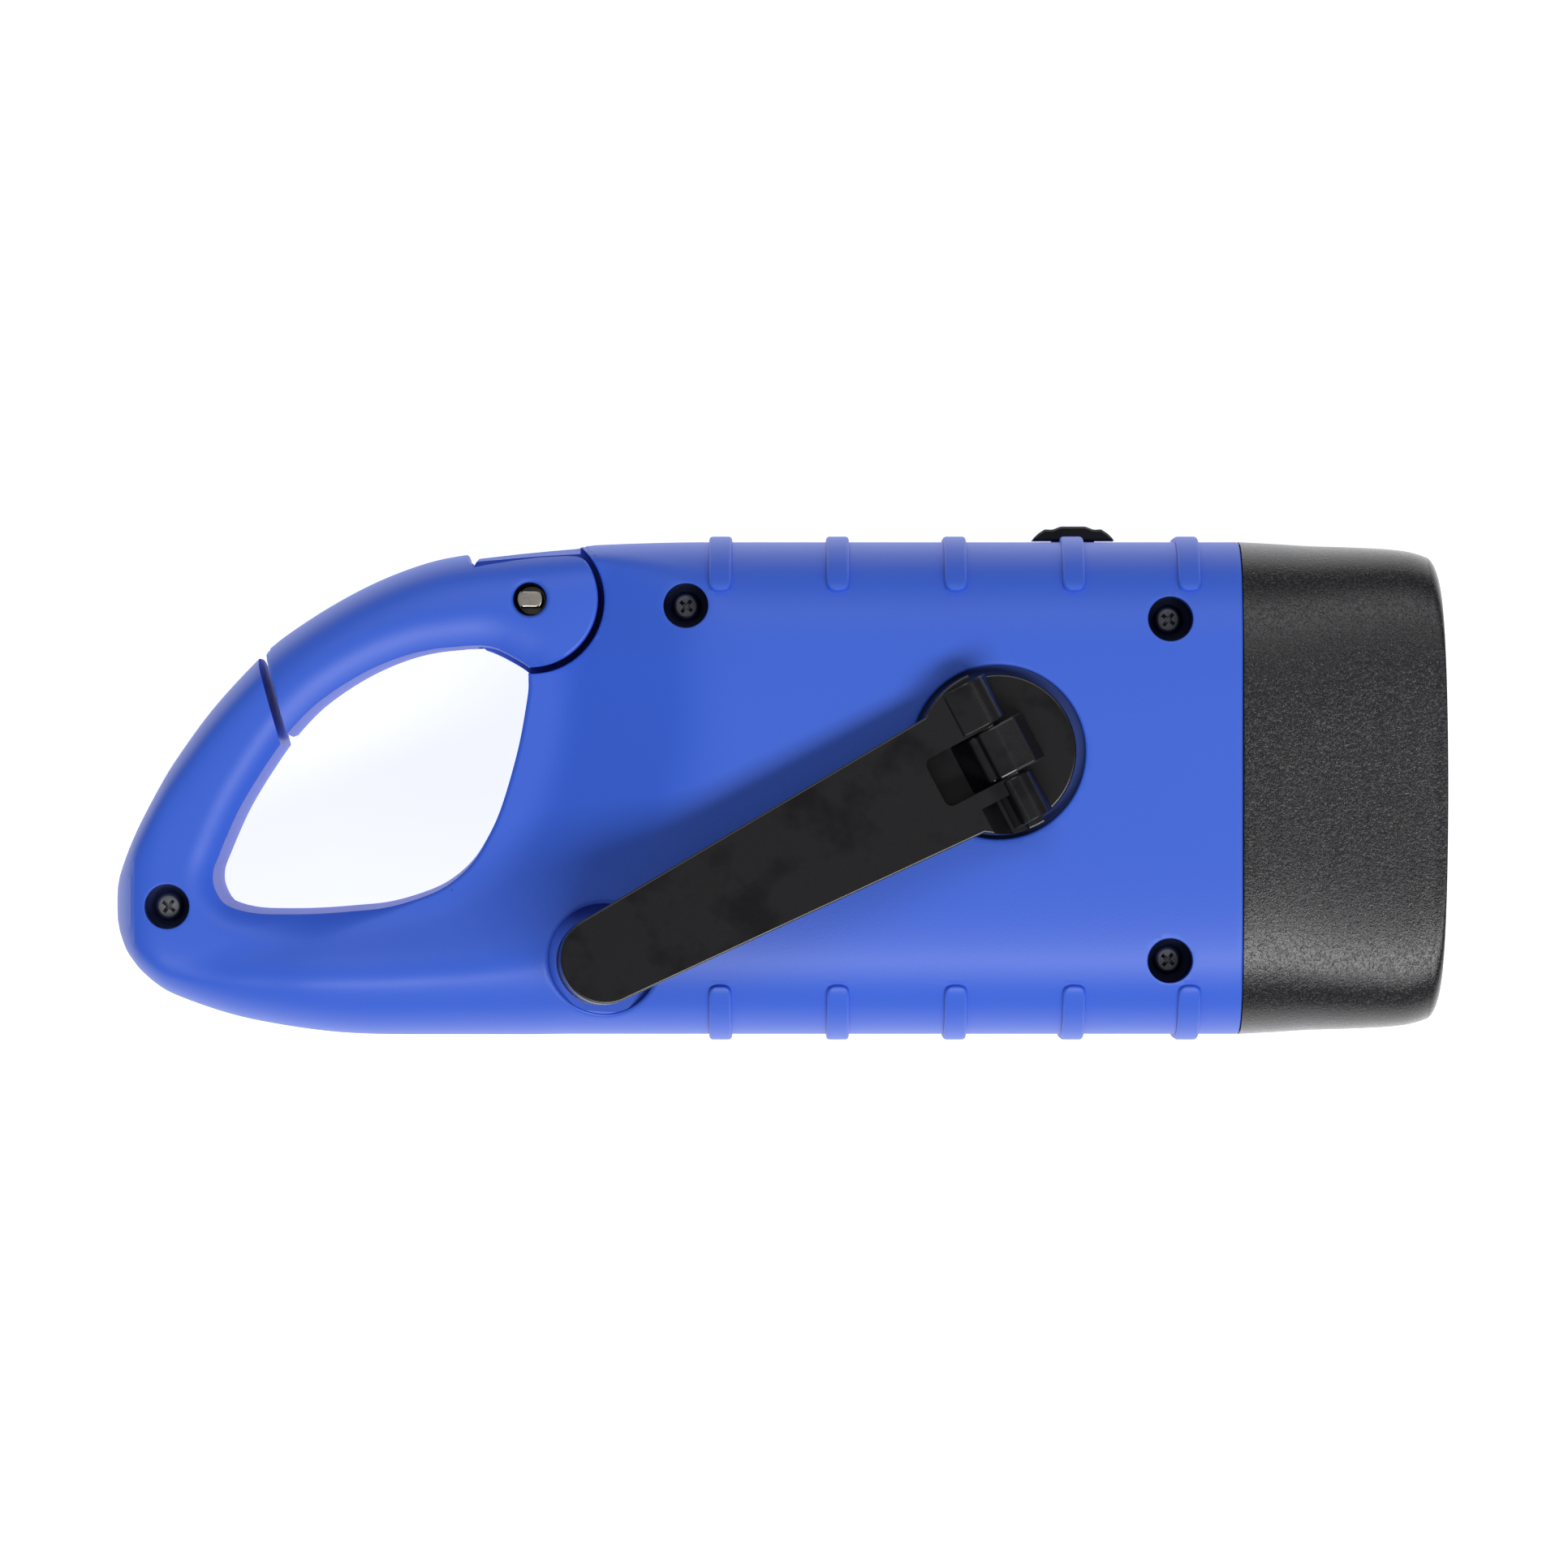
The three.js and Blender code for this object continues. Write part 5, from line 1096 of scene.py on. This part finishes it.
finish_piece("crank_lever", moved(arm, to_arm), satin_black, "arm", "black_plastic", "crank_arm")

# %% [markdown]
# Under the tip hangs the knob that the hand turns, on a riveted pin. In the photograph it sits in its pocket,
# and only a dark crescent of it shows beside the tip. It is turned on a lathe in Blender's way: a profile of
# edges, spun once round the axis.

# %% Knob
def turned(profile, segments=96):
    """A closed profile of radius and height pairs, spun round the Z axis."""
    bm = bmesh.new()
    verts = [bm.verts.new((r, 0, z)) for r, z in profile]
    edges = [bm.edges.new((a, b)) for a, b in zip(verts, verts[1:] + verts[:1])]
    bmesh.ops.spin(bm, geom=verts + edges, cent=(0, 0, 0), axis=(0, 0, 1), dvec=(0, 0, 0), angle=2 * math.pi,
                   steps=segments, use_merge=True, use_duplicate=False)
    bmesh.ops.remove_doubles(bm, verts=bm.verts, dist=1e-4)
    bmesh.ops.recalc_face_normals(bm, faces=bm.faces)
    return bm


KNOB_RADIUS, KNOB_BORE, KNOB_GAP, KNOB_LONG = 4.45, 1.4, 0.35, 4.2
GROOVE_DEEP = 0.22
knob_top = PLATE_LOW - KNOB_GAP
knob_low = knob_top - KNOB_LONG
to_tip = to_arm @ Matrix.Translation((ARM_REACH, 0, 0))
knob_line = [(KNOB_BORE, knob_low + 0.55), (2.5, knob_low + 0.55), (2.5, knob_low + 0.12),
             (2.62, knob_low), (KNOB_RADIUS - 0.5, knob_low), (KNOB_RADIUS - 0.18, knob_low + 0.12),
             (KNOB_RADIUS, knob_low + 0.45)]
for z in np.linspace(knob_low + 0.95, knob_top - 0.95, 4):
    knob_line += [(KNOB_RADIUS, z - 0.22), (KNOB_RADIUS - GROOVE_DEEP, z - 0.1),
                  (KNOB_RADIUS - GROOVE_DEEP, z + 0.1), (KNOB_RADIUS, z + 0.22)]
knob_line += [(KNOB_RADIUS, knob_top - 0.45), (KNOB_RADIUS - 0.18, knob_top - 0.12),
              (KNOB_RADIUS - 0.5, knob_top), (KNOB_BORE, knob_top)]
knob = moved(turned(knob_line), to_tip)
finish_piece("crank_grip", knob, satin_black, "knob", "black_plastic", "crank_knob")

# %% [markdown]
# Real metal is never one even grey. Each metal mixes a bright tone with a duller one in soft clouds. A fine
# noise roughens it, and faint lines, from a noise that is stretched one way, change its polish. In the worn
# nickel these lines also stand in the surface as scratches.

# %% Metal finishes
def metal(name, tone, dull, roughness, grain_mm=3.0, scratch=0.0):
    finish = Finish(name, metallic=1.0, roughness=roughness)
    cloud = finish.noise(0.35, 3.0)
    fine = finish.noise(grain_mm, 2.0, 0.6)
    lines = finish.noise(1.6, 2.0, 0.7, stretch=(0.25, 3.0, 0.25))
    finish.bump(fine + lines * scratch, 0.01)
    return finish.paint(Base_Color=finish.mix(finish.ramp(cloud, (0.35, 0.0), (0.7, 1.0)), tone, dull),
                        Roughness=roughness - 0.06 + fine * 0.1 + lines * 0.05)


nickel = metal("worn_nickel", (0.62, 0.57, 0.51), (0.45, 0.41, 0.37), 0.30, scratch=1.0)
dark_steel = metal("oiled_dark_steel", (0.44, 0.45, 0.47), (0.27, 0.27, 0.29), 0.34)
bright_steel = metal("bright_steel", (0.60, 0.60, 0.60), (0.42, 0.42, 0.43), 0.26)
for made in (nickel, dark_steel, bright_steel):
    print(made.name, "has", len(made.node_tree.nodes), "nodes")

# %% [markdown]
# Screws sit deep in their recesses, so only their heads show: a low pan head with a rounded edge and a cross
# that gets narrower as it goes down. The thread is a stack of ridges, turned with the rest of the screw.

# %% Screws
SCREW_HEAD, SCREW_CORE, SCREW_CREST = 1.5, 0.8, 1.12
HEAD_HIGH, THREAD_PITCH = 1.4, 0.8
CROSS_LONG, CROSS_WIDE, CROSS_DEEP, CROSS_TURN = 2.35, 0.5, 1.0, 0.9


def screw_profile(low, high):
    under = high - HEAD_HIGH
    body = [(0, low), (0.35, low), (SCREW_CORE, low + 0.9)]
    level = low + 1.0
    while level < under - 0.9:
        body += [(SCREW_CORE, level), (SCREW_CREST, level + 0.28), (SCREW_CREST, level + 0.36),
                 (SCREW_CORE, level + 0.64)]
        level += THREAD_PITCH
    body += [(SCREW_CORE, under - 0.25), (SCREW_CORE + 0.2, under), (SCREW_HEAD - 0.05, under),
             (SCREW_HEAD, under + 0.1)]
    body += [(SCREW_HEAD - 0.62 * (1 - math.cos(t)), under + 0.62 + 0.76 * math.sin(t))
             for t in np.linspace(0, math.pi / 2, 7)]
    return body + [(0, high)]


def cross_arm(angle, level):
    """One arm of the cross: a bar that gets narrower on its way down."""
    bar = block(-CROSS_LONG / 2, CROSS_LONG / 2, -CROSS_WIDE / 2, CROSS_WIDE / 2, -CROSS_DEEP, CROSS_DEEP)
    bmesh.ops.scale(bar, vec=(0.3, 0.45, 1), verts=[v for v in bar.verts if v.co.z < 0])
    return moved(bar, Matrix.Translation((0, 0, level)) @ Matrix.Rotation(angle, 4, "Z"))


def screw(name, x, y, node):
    low, high = (corner.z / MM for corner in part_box(node))
    cross = [cut(cross_arm(angle, high - 0.05)) for angle in (CROSS_TURN, CROSS_TURN + math.pi / 2)]
    bm = combine(turned(screw_profile(low, high), 48), *cross)
    finish_piece(name, moved(bm, Matrix.Translation((x, y, 0))), dark_steel, "root", "dark_steel", node)


for k, (x, y) in enumerate(CASE_SCREWS, 1):
    screw(f"case_screw_{k}", x, y, f"shell_screw_{k}")
screw("handle_end_screw", *TAIL_SCREW, "tail_screw")

# %% [markdown]
# The gate turns on a nickel-plated pin. Beyond the case's web it has two flats, so from above it looks like a
# short bar, and its round middle fills the hole in the web. The spring round it is a few turns of wire, drawn
# as a tube along a helix with two short legs.

# %% Gate pin and spring
SPRING_RADIUS, WIRE, WIRE_SIDES, SPRING_TURNS = 2.2, 0.3, 12, 4
LEG_FROM, LEG = 0.7, 1.24
pin_low, pin_high = (corner.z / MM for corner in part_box("gate_pin"))
PIN, PIN_FLAT, PIN_CORNER, CORNER_AT = 1.25, 0.78, 0.3, 0.62
half_pin = arc(PIN, -42, 42, 12) + arc(PIN_CORNER, 45, 90, 4, CORNER_AT, PIN_FLAT - PIN_CORNER) \
    + arc(PIN_CORNER, 90, 135, 4, -CORNER_AT, PIN_FLAT - PIN_CORNER)
flat_line = half_pin + [(-x, -y) for x, y in half_pin]
pin = combine(stacked(flat_line, (-0.1, pin_low), (-0.03, pin_low + 0.03), (0, pin_low + 0.1),
                      (0, pin_high - 0.1), (-0.03, pin_high - 0.03), (-0.1, pin_high)),
              join(rod(0, 0, PIN_HOLE - 0.03, MID - WEB + 0.1, MID + WEB - 0.1, 64, edge=0.1)))
pin = moved(pin, Matrix.Translation((*PIVOT, 0)))
finish_piece("gate_hinge_pin", pin, nickel, "root", "steel", "gate_pin")


def tube(points, radius):
    """A round wire along a line of points."""
    line = np.array(points, float)
    ahead = np.gradient(line, axis=0)
    ahead /= np.linalg.norm(ahead, axis=1)[:, None]
    first = np.cross(ahead, [0, 0, 1.0])
    first /= np.linalg.norm(first, axis=1)[:, None]
    second = np.cross(ahead, first)

    def lay(u, v):
        k = np.rint(u * (len(line) - 1)).astype(int)
        turn = (v * 2 * math.pi)[:, None]
        spot = line[k] + radius * (first[k] * np.cos(turn) + second[k] * np.sin(turn))
        return spot[:, 0], spot[:, 1], spot[:, 2]

    return skin(len(line) - 1, WIRE_SIDES, lay)


pitch = 2 * WIRE * 1.25
start = MID - SPRING_TURNS * pitch / 2
coil_top = start + pitch * SPRING_TURNS
coil = [(SPRING_RADIUS, -LEG, start), (SPRING_RADIUS, -LEG_FROM, start)]
coil += [(SPRING_RADIUS * math.cos(t), SPRING_RADIUS * math.sin(t), start + pitch * t / (2 * math.pi))
         for t in np.linspace(0, 2 * math.pi * SPRING_TURNS, 32 * SPRING_TURNS + 1)]
coil += [(SPRING_RADIUS, LEG_FROM, coil_top), (SPRING_RADIUS, LEG, coil_top)]
spring = moved(tube(coil, WIRE), Matrix.Translation((*PIVOT, 0)))
finish_piece("gate_torsion_spring", spring, bright_steel, "root", "steel", "gate_spring")

# %% [markdown]
# The lamp switch is a small black slider on the upper long edge. Its outline, seen from above, is a low hill
# with a thumb notch near each end and ridges between. It is that outline, pulled through, with soft edges.

# %% Slider
SLIDER, SLIDER_RISE, SLIDER_WIDE, SLIDER_EDGE = 8.4, 1.45, 5.0, 0.2
STEM_LONG, STEM_WIDE = 2.2, 1.2
slider_base = WIDTH / 2 + 0.2
stem_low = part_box("switch_slider")[0].y / MM
half_line = [(0.5, 0.0), (0.475, 0.22), (0.42, 0.52), (0.35, 0.78), (0.335, 0.8), (0.265, 0.78),
             (0.235, 0.81), (0.165, 0.97), (0.14, 1.0)]
slider_line = [(-a, b) for a, b in half_line] + half_line[::-1]
slider_line = [(SLIDE_X + SLIDER * a, slider_base + SLIDER_RISE * b) for a, b in slider_line]
slider = extruded(slider_line, SLIDER_WIDE)
slider = moved(slider, Matrix.Translation((0, 0, MID)) @ Matrix.Rotation(-math.pi / 2, 4, "X"))
soften(slider, level_edges(slider), SLIDER_EDGE)
slider = combine(slider, join(block(SLIDE_X - STEM_LONG, SLIDE_X + STEM_LONG, stem_low, slider_base + 0.5,
                                    MID - STEM_WIDE, MID + STEM_WIDE)))
finish_piece("lamp_slider", slider, satin_black, "switch", "black_plastic", "switch_slider")

# %% [markdown]
# Two more pins hold the crank together. A plain steel pin runs through the three knuckles of the hinge, a
# little shorter than they are, and glints in the gaps. The knob hangs on a rivet with a low domed head.

# %% Hinge pin and knob rivet
HINGE_PIN, HINGE_PIN_HALF = 0.8, 7.4
hinge_pin = hinge_rod(HINGE_PIN, HINGE_PIN_HALF, edge=0.18, w=HINGE_Z)
finish_piece("crank_hinge_pin", moved(hinge_pin, turn_to_arm), nickel, "crank", "steel", "hinge_pin")
RIVET_HEAD, RIVET, RIVET_LOW, HEAD_LOW, RIVET_TOP = 2.2, 1.1, -5.65, -6.55, -0.35
rivet = turned([(0, HEAD_LOW), (0.9, HEAD_LOW + 0.04), (1.5, HEAD_LOW + 0.17), (1.95, HEAD_LOW + 0.43),
                (RIVET_HEAD, RIVET_LOW - 0.15), (RIVET_HEAD, RIVET_LOW), (RIVET, RIVET_LOW),
                (RIVET, RIVET_TOP - 0.15), (RIVET - 0.15, RIVET_TOP), (0, RIVET_TOP)], 64)
finish_piece("knob_rivet", moved(rivet, to_tip), bright_steel, "arm", "steel", "knob_pin")

# %% [markdown]
# The lamp is three domed LEDs in three mirror cups behind a clear window. Each cup is a parabola, because
# light that leaves its focus comes out straight. The cups are turned like the knob and cut from a tray.

# %% Lens and reflector
def along_x(bm, x, y):
    """Turns an upright drawing so that it points to the front, and puts it on the lamp's level."""
    return moved(bm, Matrix.Translation((x, y, MID)) @ Matrix.Rotation(math.pi / 2, 4, "Y"))


clear = Finish("clear_acrylic", roughness=0.04, Transmission_Weight=1.0, IOR=1.49)
haze = clear.noise(0.4, 3.0)
clear_acrylic = clear.paint(Base_Color=clear.mix(haze, (0.93, 0.96, 0.97), (0.98, 0.99, 0.99)),
                            Roughness=0.02 + haze * 0.05)
LENS_RIM = [(0.0, -0.35), (0.08, -0.12), (0.25, 0.0)]
window = window_bar(*[(lens_back + run, grow) for run, grow in LENS_RIM],
                    *[(lens_front - run, grow) for run, grow in LENS_RIM[::-1]])
finish_piece("lamp_window", window, clear_acrylic, "root", "lens_clear", "lens")

mirror = Finish("vacuum_metallised_mirror", metallic=1.0, roughness=0.08)
ripple = mirror.noise(0.5, 2.0)
mirror.bump(ripple, 0.01)
mirror_coat = mirror.paint(Base_Color=mirror.mix(ripple, (0.90, 0.91, 0.93), (0.82, 0.83, 0.86)),
                           Roughness=0.05 + ripple * 0.08)
tray_back, tray_front = (corner.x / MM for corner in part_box("reflector"))
CUP_FOOT, CUP_MOUTH, LAMPS = 2.9, 5.9, (-12.6, 0.0, 12.6)
TRAY_GROW = 0.9


def cup():
    """A cutter whose radius squared grows evenly with its height, with a small rim at its mouth."""
    deep = tray_front - tray_back
    bowl = [(math.sqrt(CUP_FOOT ** 2 + (CUP_MOUTH ** 2 - CUP_FOOT ** 2) * s), deep * s)
            for s in np.linspace(0, 1, 15)]
    bowl[-1] = (CUP_MOUTH, deep - 0.12)
    rim = [(CUP_MOUTH + 0.05, deep - 0.04), (CUP_MOUTH + 0.18, deep + 0.01), (CUP_MOUTH + 0.18, deep + 1)]
    return turned([(0, -1), (CUP_FOOT, -1)] + bowl + rim + [(0, deep + 1)])


tray = window_bar((tray_back, TRAY_GROW - 0.2), (tray_back + 0.2, TRAY_GROW), (tray_front - 0.15, TRAY_GROW),
                  (tray_front, TRAY_GROW - 0.15))
tray = combine(tray, *[cut(along_x(cup(), tray_back, y)) for y in LAMPS])
finish_piece("mirror_tray", tray, mirror_coat, "root", "reflector", "reflector")

# %% [markdown]
# An LED is a clear epoxy bullet with a flange at its foot. Inside it a post and an anvil of plated steel come
# up from the board, and the anvil's cup holds a chip under a drop of yellow phosphor, which turns blue light
# white. These inner pieces are what gives a clear LED its look, so they are modelled too.

# %% LEDs
epoxy = Finish("clear_epoxy", roughness=0.05, Transmission_Weight=1.0, IOR=1.53)
swirl = epoxy.noise(0.5, 2.0)
clear_epoxy = epoxy.paint(Base_Color=epoxy.mix(swirl, (0.96, 0.95, 0.88), (0.99, 0.98, 0.93)),
                          Roughness=0.03 + swirl * 0.05)
phosphor = plastic("yellow_phosphor", (0.80, 0.62, 0.10), (0.74, 0.55, 0.08), 0.6, 0.01, 8.0)
led_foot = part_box("led_1")[0].x / MM
LED_RADIUS, LED_LONG, FLANGE = 2.5, 6.0, 2.8
BULLET = [(0, 0), (FLANGE, 0), (FLANGE, 0.7), (FLANGE - 0.1, 0.8), (LED_RADIUS, 0.85)] \
    + arc(LED_RADIUS, 0, 90, 14, 0, LED_LONG - LED_RADIUS)[:-1] + [(0, LED_LONG)]
ANVIL = [(0, 2.2), (0.35, 2.2), (0.9, 2.9), (0.95, 3.4), (0.7, 3.4), (0.45, 3.05), (0, 3.05)]
DROP = [(0, 3.06), (0.42, 3.06), (0.6, 3.3), (0.4, 3.42), (0, 3.46)]
POSTS = [(-0.2, 0.2, 2.5), (1.0, 1.4, 3.1)]
frames, drops = bmesh.new(), bmesh.new()


def add_to(whole, bm):
    mesh = bpy.data.meshes.new("part")
    bm.to_mesh(mesh)
    bm.free()
    whole.from_mesh(mesh)
    bpy.data.meshes.remove(mesh)


for k, y in enumerate(LAMPS, 1):
    bullet = along_x(turned(BULLET, 64), led_foot, y)
    finish_piece(f"led_{k}_bullet", bullet, clear_epoxy, "root", "led_clear", f"led_{k}")
    add_to(frames, along_x(turned(ANVIL, 32), led_foot, y))
    for low, high, top in POSTS:
        add_to(frames, along_x(block(-0.3, 0.3, low, high, 0.1, top), led_foot, y))
    add_to(drops, along_x(turned(DROP, 32), led_foot, y))
finish_piece("led_frames", frames, bright_steel, "root", "steel")
finish_piece("led_phosphor", drops, phosphor, "root", "led_clear")

# %% [markdown]
# The works inside are the CAD solids themselves: their shapes are right, and only their finishes are plain.
# Each gets one from nodes. Natural nylon is milky and dull, sintered bronze has pores, the coil's copper wire
# shows as fine rings with painted shade in the grooves between the turns and a painted highlight on their
# crowns, and the boards are green lacquer over copper tracks.

# %% Finishes of the works
nylon = plastic("natural_nylon", (0.60, 0.56, 0.45), (0.52, 0.48, 0.38), 0.42, 0.008, 3.0)
sleeve = plastic("green_shrink_sleeve", (0.035, 0.27, 0.09), (0.028, 0.22, 0.07), 0.3, 0.02, 0.8)
ferrite = plastic("sintered_ferrite", (0.040, 0.038, 0.040), (0.028, 0.027, 0.028), 0.62, 0.03, 4.0)
bronze = metal("sintered_bronze", (0.42, 0.25, 0.11), (0.30, 0.17, 0.07), 0.42, grain_mm=6.0)
WIRE_PITCH = 0.34
wound = Finish("enamelled_copper_wire", metallic=1.0, roughness=0.28)
level = wound.node("ShaderNodeSeparateXYZ", {}, {"Vector": wound.place}, 2)
rings = (level * (2 * math.pi / (WIRE_PITCH * MM))).math("SINE", 0) * 0.5 + 0.5
wound.bump(rings, 0.1)
# Painted shade and highlight: the colour is darker in the grooves between the turns and brighter on their
# crowns.
copper = wound.paint(Base_Color=wound.mix(rings, (0.30, 0.09, 0.03), (0.72, 0.30, 0.12)),
                     Roughness=0.34 - rings * 0.12)
lacquer = Finish("green_solder_mask", roughness=0.35)
stripes = lacquer.noise(0.55, 0.0, stretch=(1.0, 0.2, 1.0))
tracks = lacquer.ramp(stripes, (0.47, 0.0), (0.49, 1.0), (0.53, 1.0), (0.55, 0.0))
lacquer.bump(tracks, 0.03)
board = lacquer.paint(Base_Color=lacquer.mix(tracks, (0.008, 0.085, 0.028), (0.02, 0.19, 0.06)),
                      Roughness=0.38 - tracks * 0.08)
DRESS = {"blue_plastic": blue, "black_plastic": satin_black, "grained_plastic": collar_black,
         "steel": bright_steel, "dark_steel": dark_steel, "nylon": nylon, "copper": copper,
         "ferrite": ferrite, "board_green": board, "cell_sleeve": sleeve, "reflector": mirror_coat,
         "lens_clear": clear_acrylic, "led_clear": clear_epoxy, "bronze": bronze}
for part in frame["record"]["subparts"]:
    for place in frame["nodes"][part["node"]].material_slots:
        place.material = DRESS[part["material_slot"]]

# %% [markdown]
